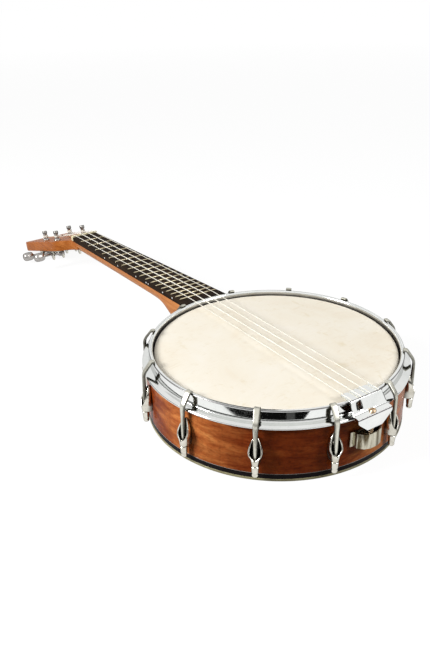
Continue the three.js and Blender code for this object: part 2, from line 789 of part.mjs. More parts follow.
function tunerPlateSolid(side) {
  const top = -headstockThickness - seatGap;
  const bottom = top - tunerPlateThickness;
  const places = tunerPlaces.map(({ along }) => along);
  const outs = tunerPlaces.map(({ out }) => out);
  const half = tunerPlateWidth / 2;
  const low = [Math.min(...places) - tunerPlateMargin, Math.min(...outs) - half, bottom];
  const high = [Math.max(...places) + wormOffset + tunerPlateMargin / 2, Math.max(...outs) + half, top];
  const pieces = [];
  const holes = [];
  for (const { along, out } of tunerPlaces) {
    const sleeve = rodUp(sleeveRadius, bottom, 0, turnedSides);
    pieces.push(sleeve.translate(along, out, 0));
    const bore = rodUp(postRadius + seatGap, bottom - overrun, overrun, turnedSides);
    holes.push(bore.translate(along, out, 0));
    const worm = along + wormOffset;
    const earBottom = -tuneAxisDrop - earDrop;
    for (const start of [out - half, out + half - earThickness]) {
      const end = start + earThickness;
      pieces.push(block([worm - earHalfWidth, start, earBottom], [worm + earHalfWidth, end, top]));
    }
    const shaftHole = rodAcross(wormShaftRadius + seatGap, 0, out + tunerPlateWidth, turnedSides);
    holes.push(shaftHole.translate(worm, 0, -tuneAxisDrop));
  }
  const solid = cut(joined(block(low, high), ...pieces), ...holes);
  return side > 0 ? solid : solid.mirror([0, 1, 0]);
}

// Tailpiece
function tailSection(thickness) {
  const top = tailLipTop;
  const shelfTop = -tailShelfDrop;
  const flapReach = tailShelfReach + tailShelfWidth + thickness;
  return [
    [-tailLipReach, top],
    [-tailCreaseReach, top],
    [-tailShelfReach, shelfTop],
    [-flapReach, shelfTop],
    [-flapReach, -tailFlapDrop],
    [-flapReach + thickness, -tailFlapDrop],
    [-flapReach + thickness, shelfTop - thickness],
    [-tailShelfReach + thickness / 2, shelfTop - thickness],
    [-tailCreaseReach + thickness / 2, top - thickness],
    [-tailLipReach, top - thickness],
  ];
}

function tailpieceSolid() {
  const body = solidOf(profileAcross(tailSection(tailplateThickness), tailPlateWidth));
  const half = tailPlateWidth / 2;
  const lipSide = (side) =>
    block(
      [-tailCreaseReach + tailplateThickness, side > 0 ? tailLipWidth / 2 : -half - overrun, 0],
      [0, side > 0 ? half + overrun : -tailLipWidth / 2, tailLipTop + overrun],
    );
  const cornerTop = -tailShelfDrop - (tailFlapDrop - tailShelfDrop) * (1 - tailFlapCornerShare);
  const flapSide = (side) =>
    profileAlong(
      [
        [side * (half + overrun), cornerTop],
        [side * half, cornerTop],
        [(side * tailFlapWidth) / 2, -tailFlapDrop],
        [(side * tailFlapWidth) / 2, -tailFlapDrop - overrun],
        [side * (half + overrun), -tailFlapDrop - overrun],
      ],
      -tailShelfReach - tailShelfWidth - overrun,
      -tailShelfReach,
    );
  const web = [tailLipTop, -tailShelfDrop];
  const [windowTop, windowBottom] = tailWindowShares.map((share) => THREE.MathUtils.lerp(...web, share));
  const window = block(
    [-tailShelfReach - tailShelfWidth + overrun, tailWindowPlace - tailWindowWidth / 2, windowBottom],
    [-tailLipReach, tailWindowPlace + tailWindowWidth / 2, windowTop],
  );
  const screwHole = rodUp(hangerHoleRadius, -tailFlapDrop, 0, turnedSides);
  screwHole.translate(-hangerReach, 0, 0);
  return cut(body, lipSide(1), lipSide(-1), flapSide(1), flapSide(-1), window, screwHole);
}

// A half-round cup on a curved foot, with the bolt that goes through the rim into the dowel stick.
function bracketSolid() {
  const inside = rimRadius + seatGap;
  const oval = (reach, half) => {
    const points = [];
    for (let i = 0; i <= bracketSides; i++) {
      const angle = Math.PI / 2 + (i / bracketSides) * Math.PI;
      points.push([-inside + reach * Math.cos(angle), half * Math.sin(angle)]);
    }
    return [...points, [-inside + bracketWall, -half], [-inside + bracketWall, half]];
  };
  const cup = slab(oval(bracketReach, bracketHalfWidth), bracketHeight).translate(0, 0, -bracketBottomDrop);
  const hollow = slab(oval(bracketReach - bracketWall, bracketHalfWidth - bracketWall), bracketHeight);
  hollow.translate(0, 0, bracketWall - bracketBottomDrop);
  const foot = block(
    [-inside - bracketWall, -bracketFootWidth / 2, -bracketBottomDrop],
    [-inside + bracketWall, bracketFootWidth / 2, -bracketTopDrop],
  );
  const screwHole = rodUp(hangerHoleRadius, -bracketBottomDrop - overrun, -bracketTopDrop, turnedSides);
  const rimSpace = rodUp(inside, -potDepth, 0, potSides);
  const shell = cut(solidOf(cup), hollow).add(solidOf(foot));
  const bare = cut(shell, screwHole.translate(-hangerReach, 0, 0), rimSpace);
  const dowelEnd = Math.sqrt(rimInnerRadius ** 2 - (dowelWidth / 2) ** 2) - seatGap;
  const bolt = rodAlong(tailBoltRadius, -inside - bracketWall, tailBoltDepth - seatGap - dowelEnd, rodSides);
  const boltHead = rodAlong(tailBoltHeadRadius, -inside - bracketWall - tailBoltHead, -inside, turnedSides);
  return bare.add(joined(bolt, boltHead).translate([0, 0, -dowelDrop]));
}

function hangerGeometry() {
  const headBottom = seatGap - tailShelfDrop;
  const profile = [
    [0, -bracketBottomDrop - hangerPoint],
    [hangerRadius, -bracketBottomDrop - hangerPoint + hangerRadius],
    [hangerRadius, headBottom],
    [hangerHeadRadius, headBottom],
    [hangerHeadRadius, headBottom + hangerHead / 2],
    [hangerHeadRadius - hangerHead / 2, headBottom + hangerHead],
    [0, headBottom + hangerHead],
  ];
  return turned(profile, turnedSides).translate(-hangerReach, 0, 0);
}

// Strings: each runs from the tailpiece's crease over the hoop, the last fret and the nut to its post, and
// winds round the post's waist. The outer two go to the posts nearest the nut.
function stringRoute(index) {
  const radius = strings[index].diameter / 2;
  const tailSide = stringPlaces(stringSpacingAtTail)[index];
  const nutSide = stringPlaces(stringSpacingAtNut)[index];
  const side = Math.sign(nutSide);
  const outerString = index === 0 || index === strings.length - 1;
  const { along, out } = tunerPlaces[outerString ? 1 : 0];
  const onNeck = (x, y, z) => new THREE.Vector3(x, y, z).applyMatrix4(neckFrame);
  const nutTop = nutHeight - nutSlotDepth + seatGap + radius;
  const lastFret = onNeck(fretPlace(fretCount), 0, fretHeight + seatGap + radius);
  const nutFront = onNeck(neckLength, nutSide, nutTop);
  const nutBack = onNeck(neckLength + nutThickness + seatGap, nutSide, nutTop);
  const tailTop = tailLipTop + seatGap + radius;
  const tail = new THREE.Vector3(-tailCreaseReach + tailplateThickness, tailSide, tailTop);
  const sideAt = (x) => THREE.MathUtils.mapLinear(x, tail.x, nutFront.x, tailSide, nutSide);
  const hoopTop = hoopRise + seatGap + stringMaxRadius;
  const hoop = new THREE.Vector3(hoopOuterRadius, sideAt(hoopOuterRadius), hoopTop);
  lastFret.y = sideAt(lastFret.x);

  const turnRadius = postWaistRadius + seatGap + radius;
  const start = nutBack.clone().applyMatrix4(headstockFrame.clone().invert());
  const [towardX, towardY] = [along - start.x, side * out - start.y];
  const distance = Math.hypot(towardX, towardY);
  const arrival = Math.atan2(towardY, towardX) - side * Math.asin(turnRadius / distance);
  const pitch = strings[index].diameter + coilGap;
  const lowest = postWaistRise + (postWaistHeight - pitch * stringTurns) / 2;
  const winding = [];
  const steps = Math.round(stringTurns * turnSteps);
  for (let i = 0; i <= steps; i++) {
    const turn = (i / turnSteps) * 2 * Math.PI;
    const angle = arrival - (side * Math.PI) / 2 + side * turn;
    const x = along + turnRadius * Math.cos(angle);
    const y = side * out + turnRadius * Math.sin(angle);
    winding.push(new THREE.Vector3(x, y, lowest + (pitch * i) / turnSteps));
  }
  const last = winding.at(-1).clone().sub(winding.at(-2)).normalize();
  winding.push(winding.at(-1).clone().addScaledVector(last, strings[index].diameter));
  const points = winding.map((point) => point.applyMatrix4(headstockFrame));
  return { points: [tail, hoop, lastFret, nutFront, nutBack, ...points], turns: points };
}

// The least distance between stretches of a winding half a turn or more apart, less its diameter.
function leastGap(points, diameter) {
  let least = Infinity;
  for (let i = 0; i < points.length; i++) {
    for (let j = i + turnSteps / 2; j < points.length; j++) {
      least = Math.min(least, points[i].distanceTo(points[j]) - diameter);
    }
  }
  return least;
}

// The whole instrument
const instrument = new THREE.Group();
instrument.name = "banjo_ukulele";
instrument.add(
  meshOf("rim", rimSolid(), "mahogany"),
  meshOf("head", headGeometry(), "skin"),
  meshOf("tension_hoop", hoopGeometry(), "chrome"),
  meshOf("dowel_stick", dowelSolid(), "neckWood"),
  meshOf("tailpiece", tailpieceSolid(), "chrome"),
  meshOf("tailpiece_bracket", bracketSolid(), "nickel"),
  meshOf("tailpiece_screw", hangerGeometry(), "brass"),
);

const [hookShape, shoeShape, barrelShape] = [hookGeometry(), geometryOf(shoeSolid()), barrelGeometry()];
hookAngles().forEach((angle, i) => {
  const number = String(i + 1).padStart(2, "0");
  const set = [
    meshOf("hook_" + number, hookShape, "nickel"),
    meshOf("shoe_" + number, shoeShape, "nickel"),
    meshOf("barrel_nut_" + number, barrelShape, "nickel"),
  ];
  for (const mesh of set) mesh.rotation.z = angle;
  instrument.add(...set);
});

neckGroup.add(
  meshOf("neck", neckSolid(), "neckWood"),
  meshOf("fingerboard", fingerboardSolid(), "ebony"),
  meshOf("nut", nutSolid(), "bone"),
);
for (const [sideName, side] of [["bass", 1], ["treble", -1]]) {
  headstockGroup.add(meshOf("tuner_plate_" + sideName, tunerPlateSolid(side), "nickel"));
  for (const { place, along, out } of tunerPlaces) {
    const post = meshOf(["tuner_post", sideName, place].join("_"), postSolid(), "nickel");
    post.position.set(along, side * out, 0);
    const button = meshOf(["tuner_button", sideName, place].join("_"), buttonSolid(out, side), "nickel");
    button.position.set(along + wormOffset, 0, -tuneAxisDrop);
    headstockGroup.add(post, button);
  }
}
instrument.add(neckGroup);

let least = Infinity;
strings.forEach(({ name, diameter }, i) => {
  const { points, turns } = stringRoute(i);
  instrument.add(meshOf(name, tube(points, diameter / 2, stringSides), "nylon"));
  least = Math.min(least, leastGap(turns, diameter));
});
console.log("string windings: least gap " + least.toFixed(2) + " mm");

// The origin is the middle of the bounding box's lower side.
const reach = new THREE.Box3().setFromObject(instrument, true);
instrument.position.set(-(reach.min.x + reach.max.x) / 2, -(reach.min.y + reach.max.y) / 2, -reach.min.z);

export default instrument;
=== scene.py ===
"""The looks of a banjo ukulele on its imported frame.

Shapes are drawn in millimetres in the space of the pot, the neck or the headstock, and `piece` puts them in place.
In the pot's space the head lies at height 0, +X runs to the neck and +Y to the bass side.
"""

from math import asin, atan2, copysign, cos, dist, hypot, pi, radians, sin, sqrt, tan, tau

import bmesh
import bpy
from mathutils import Matrix, Vector

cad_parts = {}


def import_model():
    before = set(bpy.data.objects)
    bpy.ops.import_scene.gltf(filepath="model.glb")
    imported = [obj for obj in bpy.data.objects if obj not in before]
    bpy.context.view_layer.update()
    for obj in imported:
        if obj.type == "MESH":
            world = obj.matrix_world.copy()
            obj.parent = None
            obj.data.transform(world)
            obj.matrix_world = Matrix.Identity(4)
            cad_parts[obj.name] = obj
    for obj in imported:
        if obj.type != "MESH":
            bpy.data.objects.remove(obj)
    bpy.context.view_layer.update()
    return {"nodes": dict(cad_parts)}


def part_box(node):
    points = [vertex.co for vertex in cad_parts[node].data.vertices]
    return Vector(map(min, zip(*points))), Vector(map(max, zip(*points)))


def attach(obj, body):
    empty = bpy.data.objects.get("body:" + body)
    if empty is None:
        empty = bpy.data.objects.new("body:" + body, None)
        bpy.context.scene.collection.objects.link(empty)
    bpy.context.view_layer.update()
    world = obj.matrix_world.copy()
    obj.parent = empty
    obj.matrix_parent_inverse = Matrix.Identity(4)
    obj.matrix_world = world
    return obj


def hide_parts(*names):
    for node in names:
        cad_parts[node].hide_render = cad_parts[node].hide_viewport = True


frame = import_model()
POT_BODY = "pot_and_neck"

# Sizes of the instrument, in millimetres
GAP = 0.3  # between pieces that lie close without touching
RIM_RADIUS = 105.3
RIM_INSIDE = 94.3
ROUND = 240  # faces round the rim and the head
POT_DEPTH = 54.5
LEDGE = 102.2  # radius of the step at the foot of the rim that its edge lines lie in
SKIN_RADIUS = 98.8
HOOP_INSIDE = 99.1
HOOP_OUTSIDE = 103.0
HOOP_RISE = 3.8
HOOP_DROP = 9.0
FLANGE_RADIUS = 108.0
HOOKS = 12
HOOK_RADIUS = 110.0
ROD = 1.6
BOLT_HEIGHT = -25.5
SCREW_PLACE = -111.3
SCALE = 381.0
FRETS = 18
NECK_SLOPE = radians(3.26)
BOARD_RISE = 3.4
BOARD_THICKNESS = 4.7
BOARD_AT_POT = 42.4
BOARD_AT_NUT = 31.1
BOARD_START = -8
NECK_START = HOOP_OUTSIDE + GAP
NECK_LENGTH = (361.4 - NECK_START) / cos(NECK_SLOPE)
HEADSTOCK_TILT = radians(13.2)
HEADSTOCK_STEP = 3.2
HEADSTOCK_LENGTH = 133.0
HEADSTOCK_THICKNESS = 11.5
HEADSTOCK_WIDTH = 59.4
DOWEL = 18.0
DOWEL_DROP = 29.0
MORTISE_END = 120.0  # the end of the heel's hole for the dowel stick
TUNERS = (("tip", 88.3, 16.4), ("nut", 46.55, 17.4))  # name, place along the headstock, place out from its middle
SIDES = (("bass", 1), ("treble", -1))
GEAR_RADIUS = 5.4
GEAR_TEETH = 15
WORM_RADIUS = 2.6
PLATE_THICKNESS = 1.0
POST_RADIUS = 2.2
BUTTON_PLACE = 41.0
EAR_PLACE = 7  # from the middle of a tuner to the outside of its ears
EAR_THICKNESS = 1.3
EAR_DROP = 7.4
WORM_OFFSET = GEAR_RADIUS + GAP + WORM_RADIUS
TUNE_DROP = HEADSTOCK_THICKNESS + GAP + PLATE_THICKNESS + GAP + WORM_RADIUS
TAIL_SPACING = 8.7
NUT_SPACING = 8.1
STRINGS = (("string_4_g", 0.66), ("string_3_c", 0.91), ("string_2_e", 0.81), ("string_1_a", 0.6))  # name, diameter


def shift(x, y, z):
    return Matrix.Translation((x, y, z))


def turn(axis, angle=-pi / 2):
    return Matrix.Rotation(angle, 4, axis)


rim_low, rim_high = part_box("rim")
METRES = Matrix.Scale(0.001, 4)
POT = shift((rim_low.x + rim_high.x) / 2, (rim_low.y + rim_high.y) / 2, rim_low.z + POT_DEPTH / 1000) @ METRES
NECK_IN_POT = shift(NECK_START, 0, BOARD_RISE) @ turn("Y", NECK_SLOPE)
HEADSTOCK_IN_NECK = shift(NECK_LENGTH, 0, -HEADSTOCK_STEP) @ turn("Y", HEADSTOCK_TILT)
NECK = POT @ NECK_IN_POT
HEADSTOCK = NECK @ HEADSTOCK_IN_NECK


def numbered(kind):
    return ["%s_%02d" % (kind, i + 1) for i in range(HOOKS)]


def hook_angle(i):
    return (i + 0.5) / HOOKS * tau


def held(value):
    """The value, kept between 0 and 1."""
    return min(max(value, 0), 1)


def eased(share):
    return share * share * (3 - 2 * share)


def on_stage(name, data):
    obj = bpy.data.objects.new(name, data)
    bpy.context.scene.collection.objects.link(obj)
    return obj


# Nodes and finishes


def wired(tree, socket, value):
    """Sets an input to a value, or feeds it from a socket or from the first output of a node."""
    if isinstance(value, bpy.types.Node):
        value = value.outputs[0]
    if isinstance(value, bpy.types.NodeSocket):
        tree.links.new(value, socket)
    else:
        socket.default_value = value


def node(tree, kind, inputs=None, **settings):
    """Adds a node. Its inputs are given by name or number."""
    made = tree.nodes.new(kind)
    for key, value in settings.items():
        setattr(made, key, value)
    for key, value in (inputs or {}).items():
        wired(tree, made.inputs[key], value)
    return made


def math_of(tree, operation, *values):
    return node(tree, "ShaderNodeMath", dict(enumerate(values)), operation=operation)


class Finish:
    """A material of a Principled shader and the patterns that feed it."""

    def __init__(self, name, grain_uv=False, **settings):
        self.material = bpy.data.materials.new(name)
        self.material.use_nodes = True
        self.tree = self.material.node_tree
        self.shader = self.tree.nodes["Principled BSDF"]
        self.feed(**settings)
        if grain_uv:
            self.place = node(self.tree, "ShaderNodeUVMap", uv_map="Grain")
        else:
            self.place = node(self.tree, "ShaderNodeTexCoord").outputs["Object"]

    def noise(self, scale, detail, roughness, stretch=(1, 1, 1), distortion=0, turned_by=(0, 0, 0)):
        laid = node(self.tree, "ShaderNodeMapping", {"Vector": self.place, "Scale": stretch, "Rotation": turned_by})
        inputs = {"Vector": laid, "Scale": scale, "Detail": detail, "Roughness": roughness,
                  "Distortion": distortion}
        return node(self.tree, "ShaderNodeTexNoise", inputs)

    def ramp(self, pattern, *stops):
        made = node(self.tree, "ShaderNodeValToRGB", {"Fac": pattern})
        elements = made.color_ramp.elements
        for i, (place, color) in enumerate(stops):
            element = elements[i] if i < 2 else elements.new(place)
            element.position = place
            element.color = (*color, 1) if hasattr(color, "__len__") else (color, color, color, 1)
        return made

    def mixed(self, kind, amount, first, second):
        inputs = {0: amount, 6: first, 7: second}
        return node(self.tree, "ShaderNodeMix", inputs, data_type="RGBA", blend_type=kind).outputs[2]

    def stained(self, color, amount, pattern, *stops):
        """The colour darkened by a ramp over the pattern."""
        return self.mixed("MULTIPLY", amount, color, self.ramp(pattern, *stops))

    def between(self, pattern, low, high):
        """The middle tones of the pattern, as values from low to high."""
        inputs = {"Value": pattern, "From Min": 0.3, "From Max": 0.7, "To Min": low, "To Max": high}
        return node(self.tree, "ShaderNodeMapRange", inputs)

    def feed(self, **inputs):
        for key, value in inputs.items():
            wired(self.tree, self.shader.inputs[key.replace("_", " ")], value)

    def bump(self, height, strength, distance):
        inputs = {"Height": height, "Strength": strength, "Distance": distance}
        self.feed(Normal=node(self.tree, "ShaderNodeBump", inputs))


def wood(name, tones, along, figure, roughness, gloss, flame=0.0, grain_uv=False, shade_bands=None):
    """Lacquered wood. tones run from dark to light, and along gives the stretch of its grain on each axis.

    shade_bands are painted shade, soft dark patches along the grain: their length, the middle of a pale one, and the
    dark ones' tint.
    """
    finish = Finish(name, grain_uv, Specular_IOR_Level=gloss)
    dark, middle, light = tones
    across = [a > 0.5 for a in along]
    streaks = finish.noise(150, 6, 0.62, along, 0.4)
    color = finish.ramp(streaks, (0.3, dark), (0.72, light), (0.5, middle))
    if shade_bands:
        # Painted shade: a wave of soft dark patches round the rim, darkest where little light falls, mixed with
        # cloudy figure.
        length, pale, tint = shade_bands
        arc = node(finish.tree, "ShaderNodeSeparateXYZ", {0: finish.place})
        phase = math_of(finish.tree, "MULTIPLY_ADD", arc, tau / length, -tau * pale / length)
        wave = math_of(finish.tree, "COSINE", phase)
        cloud = math_of(finish.tree, "MULTIPLY_ADD", finish.noise(34, 5, 0.6, along, 1.0), 0.9, -0.2)
        broad = math_of(finish.tree, "MULTIPLY_ADD", wave, 0.22, cloud)
    else:
        tint = (0.42, 0.42, 0.42)
        broad = finish.noise(9, 3, 0.5, tuple(0.35 + 0.65 * a for a in across), 0.6)
    color = finish.stained(color, figure, broad, (0.2, tint), (0.5, 1.0))
    ribbons = finish.noise(120, 4, 0.6, tuple(1.3 - 0.6 * a for a in across), 1.6)
    color = finish.stained(color, flame, ribbons, (0.38, 0.5), (0.56, 1.0))
    pores = finish.noise(900, 3, 0.6, along)
    color = finish.stained(color, 0.5, pores, (0.36, 0.4), (0.47, 1.0))
    finish.feed(Base_Color=color, Roughness=finish.between(streaks, *roughness))
    finish.bump(pores, 0.08, 0.0002)
    return finish.material


def metal(name, color, shadow, roughness, wear, scratch, scale, painted_shade=None, stretch=(1, 1, 1), edge=0.8,
          spread=(0.35, 0.78)):
    """Plated metal with a film of tarnish in patches and fine scratches. Painted shade, near black and rougher, lies
    where the mesh says.
    """
    finish = Finish(name, Metallic=1.0, Specular_Tint=(edge, edge, edge, 1))
    patches = finish.noise(scale, 6, 0.65, stretch, 0.8)
    specks = finish.noise(scale * 14, 3, 0.6)
    tint = finish.ramp(patches, (spread[0], color), (spread[1], shadow))
    tint = finish.stained(tint, wear, specks, (0.28, 0.55), (0.42, 1.0))
    rough = finish.between(patches, *roughness)
    if painted_shade:
        laid = node(finish.tree, "ShaderNodeAttribute", attribute_name="Grime").outputs["Fac"]
        uneven = math_of(finish.tree, "MULTIPLY_ADD", patches, 0.5, 0.72)
        laid = math_of(finish.tree, "MINIMUM", math_of(finish.tree, "MULTIPLY", laid, uneven), 1.0)
        tint = finish.mixed("MIX", laid, tint, (*painted_shade, 1))
        rough = math_of(finish.tree, "MULTIPLY_ADD", laid, 0.25, rough)
    finish.feed(Base_Color=tint, Roughness=rough)
    finish.bump(finish.noise(2200, 2, 0.5, (1, 1, 0.08)), scratch, 0.00004)
    return finish.material


def calfskin():
    """Stretched calfskin: ivory, clouded, with a few darker hair marks."""
    finish = Finish("calfskin", Specular_IOR_Level=0.2)
    clouds = finish.noise(16, 5, 0.6, distortion=1.2)
    marks = finish.noise(55, 4, 0.7, (1, 1.5, 1), 0.5)
    hairs = finish.noise(420, 3, 0.6, (1, 0.3, 1), turned_by=(0, 0, 0.5))
    dark, middle, light = (0.885, 0.8, 0.655), (0.915, 0.85, 0.72), (0.93, 0.875, 0.765)
    color = finish.ramp(clouds, (0.3, dark), (0.66, light), (0.46, middle))
    color = finish.stained(color, 0.4, marks, (0.26, (0.8, 0.72, 0.52)), (0.4, 1.0))
    color = finish.stained(color, 0.3, hairs, (0.3, (0.86, 0.8, 0.7)), (0.42, 1.0))
    finish.feed(Base_Color=color, Roughness=finish.between(clouds, 0.45, 0.6))
    finish.bump(marks, 0.1, 0.0004)
    return finish.material


def smooth_solid(name, light, dark, roughness, scale, gloss=0.25):
    """Bone, celluloid, nylon or the like: one body colour, a little clouded."""
    finish = Finish(name, Specular_IOR_Level=gloss)
    clouds = finish.noise(scale, 4, 0.6, distortion=0.5)
    rough = finish.between(clouds, roughness + 0.06, roughness - 0.04)
    finish.feed(Base_Color=finish.ramp(clouds, (0.32, dark), (0.62, light)), Roughness=rough)
    finish.bump(finish.noise(scale * 12, 2, 0.5), 0.04, 0.00005)
    return finish.material


# The rim's wood carries painted shade: a wave of soft dark patches round it.
MAHOGANY = wood(
    "mahogany_rim", ((0.34, 0.072, 0.015), (0.55, 0.16, 0.04), (0.79, 0.3, 0.086)), (0.3, 1.2, 1),
    1.0, (0.2, 0.3), 0.035, 0.3, grain_uv=True, shade_bands=(0.1654, 0.1966, (0.4, 0.235, 0.17)),
)
NECK_WOOD = wood(
    "satin_neck_wood", ((0.4, 0.12, 0.028), (0.55, 0.2, 0.054), (0.67, 0.28, 0.09)), (0.1, 1.4, 1.4),
    0.35, (0.34, 0.46), 0.07, 0.15,
)
HEADSTOCK_WOOD = wood(
    "satin_headstock_wood", ((0.3, 0.073, 0.012), (0.45, 0.135, 0.026), (0.58, 0.2, 0.05)), (0.1, 1.4, 1.4),
    0.35, (0.34, 0.46), 0.06, 0.15,
)
EBONY = wood(
    "fingerboard_ebony", ((0.009, 0.006, 0.004), (0.019, 0.012, 0.008), (0.044, 0.027, 0.016)), (0.08, 1.6, 1.6),
    0.5, (0.5, 0.62), 0.02,
)
CALFSKIN = calfskin()
# The near black of painted shade on the nickel; the chrome's is a little lighter.
PAINTED_SHADE = (0.035, 0.032, 0.024)
CHROME = metal("hoop_chrome", (0.86, 0.87, 0.85), (0.76, 0.78, 0.76), (0.04, 0.1), 0.2, 0.02, 45, (0.05, 0.04, 0.045))
NICKEL = metal("worn_nickel", (0.76, 0.74, 0.67), (0.54, 0.51, 0.42), (0.1, 0.24), 0.5, 0.05, 160, PAINTED_SHADE, edge=0.45)
HOOK_NICKEL = metal("hook_nickel", (0.74, 0.73, 0.65), (0.5, 0.48, 0.39), (0.24, 0.36), 0.5, 0.05, 130, PAINTED_SHADE,
                    edge=0.25)
TUNER_NICKEL = metal("tuner_nickel", (0.5, 0.48, 0.46), (0.28, 0.26, 0.24), (0.2, 0.34), 0.6, 0.05, 220, PAINTED_SHADE,
                     edge=0.3)
# The cup's dark vertical streaks are painted reflections of the wood and shade around it.
CUP_NICKEL = metal("cup_nickel", (0.6, 0.57, 0.46), (0.1, 0.075, 0.04), (0.2, 0.34), 0.6, 0.05, 150, PAINTED_SHADE,
                   (1, 1, 0.1), 0.5, (0.42, 0.58))
BRASS = metal("dull_brass", (0.72, 0.58, 0.42), (0.3, 0.18, 0.09), (0.2, 0.38), 0.6, 0.05, 420, edge=0.5)
FRET_WIRE = metal("fret_wire", (0.55, 0.48, 0.33), (0.35, 0.29, 0.18), (0.24, 0.38), 0.4, 0.02, 120, edge=0.6)
BONE = smooth_solid("bone_nut", (0.84, 0.77, 0.53), (0.7, 0.59, 0.34), 0.36, 140)
# A dull cream band round the rim's foot, below the black line.
CREAM = smooth_solid("cream_binding", (0.36, 0.33, 0.19), (0.22, 0.19, 0.1), 0.4, 60)
BLACK_LINE = smooth_solid("black_line", (0.008, 0.006, 0.007), (0.015, 0.012, 0.013), 0.3, 50, 0.03)
PALE_LINE = smooth_solid("pale_line", (0.3, 0.27, 0.25), (0.2, 0.18, 0.16), 0.35, 70)
PEARL = smooth_solid("side_dots", (0.86, 0.86, 0.84), (0.7, 0.7, 0.69), 0.25, 400)
NYLON = smooth_solid("string_nylon", (0.88, 0.85, 0.76), (0.77, 0.73, 0.63), 0.3, 200)


# Shapes


def new_shape():
    """An empty shape, and the layer that says how much painted shade lies on it."""
    bm = bmesh.new()
    return bm, bm.verts.layers.float.new("Grime")


def closed_loops(loops, painted_shade=()):
    """A skin through closed loops of equally many points, with flat ends. The painted shade values match the loops.
    """
    bm, laid = new_shape()
    rows = [[bm.verts.new(p) for p in loop] for loop in loops]
    for row, shares in zip(rows, painted_shade):
        for vertex, share in zip(row, shares):
            vertex[laid] = share
    for a, b in zip(rows, rows[1:]):
        for i in range(len(a)):
            j = (i + 1) % len(a)
            bm.faces.new((a[i], a[j], b[j], b[i]))
    bm.faces.new(rows[0][::-1])
    bm.faces.new(rows[-1])
    return tidy(bm)


def tidy(bm):
    bmesh.ops.remove_doubles(bm, verts=bm.verts, dist=1e-4)
    bmesh.ops.recalc_face_normals(bm, faces=bm.faces)
    return bm


def turned(profile, segments, flutes=0, flute_depth=0.0, fluted=(), painted_shade=()):
    """A profile of (radius, height) points turned about Z. It closes on itself unless it starts on the axis."""
    bm, laid = new_shape()
    rings = []
    for index, (radius, height) in enumerate(profile):
        ring = []
        for s in range(segments if radius > 1e-6 else 1):
            angle = s / segments * tau
            r = radius - (flute_depth * (0.5 - 0.5 * cos(flutes * angle)) if index in fluted else 0)
            vertex = bm.verts.new((r * cos(angle), r * sin(angle), height))
            vertex[laid] = dict(painted_shade).get(index, 0.0)
            ring.append(vertex)
        rings.append(ring)
    pairs = list(zip(rings, rings[1:]))
    if profile[0][0] > 1e-6:
        pairs.append((rings[-1], rings[0]))
    uv = bm.loops.layers.uv.new("Grain")
    travelled = 0.0
    for n, (a, b) in enumerate(pairs):
        step = dist(profile[n], profile[(n + 1) % len(profile)])
        for s in range(segments):
            corners = {}
            for ring, across, up in ((a, 0, 0), (a, 1, 0), (b, 1, 1), (b, 0, 1)):
                corners.setdefault(ring[(s + across) % len(ring)], (across, up))
            if len(corners) < 3:
                continue
            face = bm.faces.new(list(corners))
            for loop, (across, up) in zip(face.loops, corners.values()):
                arc = (s + across) / segments * tau * RIM_RADIUS / 1000
                loop[uv].uv = (arc, (travelled + up * step) / 1000)
        travelled += step
    return tidy(bm)


def prism(outline, low, high, bevel=0.0, segments=2):
    """An outline in X and Y raised from low to high, with its sharp edges rounded."""
    bm = closed_loops([[(x, y, low) for x, y in outline], [(x, y, high) for x, y in outline]])
    return rounded(bm, bevel, segments) if bevel else bm


def rounded(bm, width, segments=2, angle=30):
    edges = [e for e in bm.edges if len(e.link_faces) == 2 and e.calc_face_angle(0) > radians(angle)]
    bmesh.ops.bevel(bm, geom=edges, offset=width, segments=segments, profile=0.5, affect="EDGES", clamp_overlap=True)
    return bm


def block(low, high, bevel=0.0):
    (a, b, c), (d, e, f) = low, high
    return prism([(a, b), (d, b), (d, e), (a, e)], c, f, bevel)


def moved(bm, matrix):
    bmesh.ops.transform(bm, matrix=matrix, verts=bm.verts)
    return bm


def together(*shapes):
    """Several shapes as one mesh, which keeps each of them closed."""
    whole = bmesh.new()
    for shape in shapes:
        mesh = bpy.data.meshes.new("part")
        shape.to_mesh(mesh)
        shape.free()
        whole.from_mesh(mesh)
        bpy.data.meshes.remove(mesh)
    return whole


def shaded(mesh, sharp):
    mesh.shade_smooth()
    mesh.set_sharp_from_angle(angle=radians(sharp))


def drawn(name, bm, space=Matrix.Identity(4), *finishes, sharp=38):
    """An object at the origin whose mesh lies in place, in metres."""
    mesh = bpy.data.meshes.new(name)
    bm.to_mesh(mesh)
    bm.free()
    mesh.transform(space)
    for finish in finishes:
        mesh.materials.append(finish)
    shaded(mesh, sharp)
    return on_stage(name, mesh)


def cleaned(mesh):
    """Takes out the slivers without area that a cut or a bevel leaves."""
    near = 2e-6
    bm = bmesh.new()
    bm.from_mesh(mesh)
    for _ in range(2):
        bmesh.ops.remove_doubles(bm, verts=bm.verts, dist=near)
        bmesh.ops.dissolve_degenerate(bm, edges=bm.edges, dist=near)
        bmesh.ops.triangulate(bm, faces=[f for f in bm.faces if len(f.verts) > 4], ngon_method="EAR_CLIP")
    bm.to_mesh(mesh)
    bm.free()


def settled(obj, sharp=38):
    """Makes the result of obj's modifiers its own plain mesh, and takes the modifiers off."""
    graph = bpy.context.evaluated_depsgraph_get()
    mesh = bpy.data.meshes.new_from_object(obj.evaluated_get(graph), preserve_all_data_layers=True, depsgraph=graph)
    obj.modifiers.clear()
    obj.data = mesh
    cleaned(mesh)
    shaded(mesh, sharp)
    return obj


def fitted(obj, slot, *nodes, body=POT_BODY):
    """Hands a finished piece to the frame: what it rides on and the nodes that it stands for, which it hides. slot is
    not used.
    """
    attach(obj, body)
    if nodes:
        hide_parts(*nodes)
    return obj


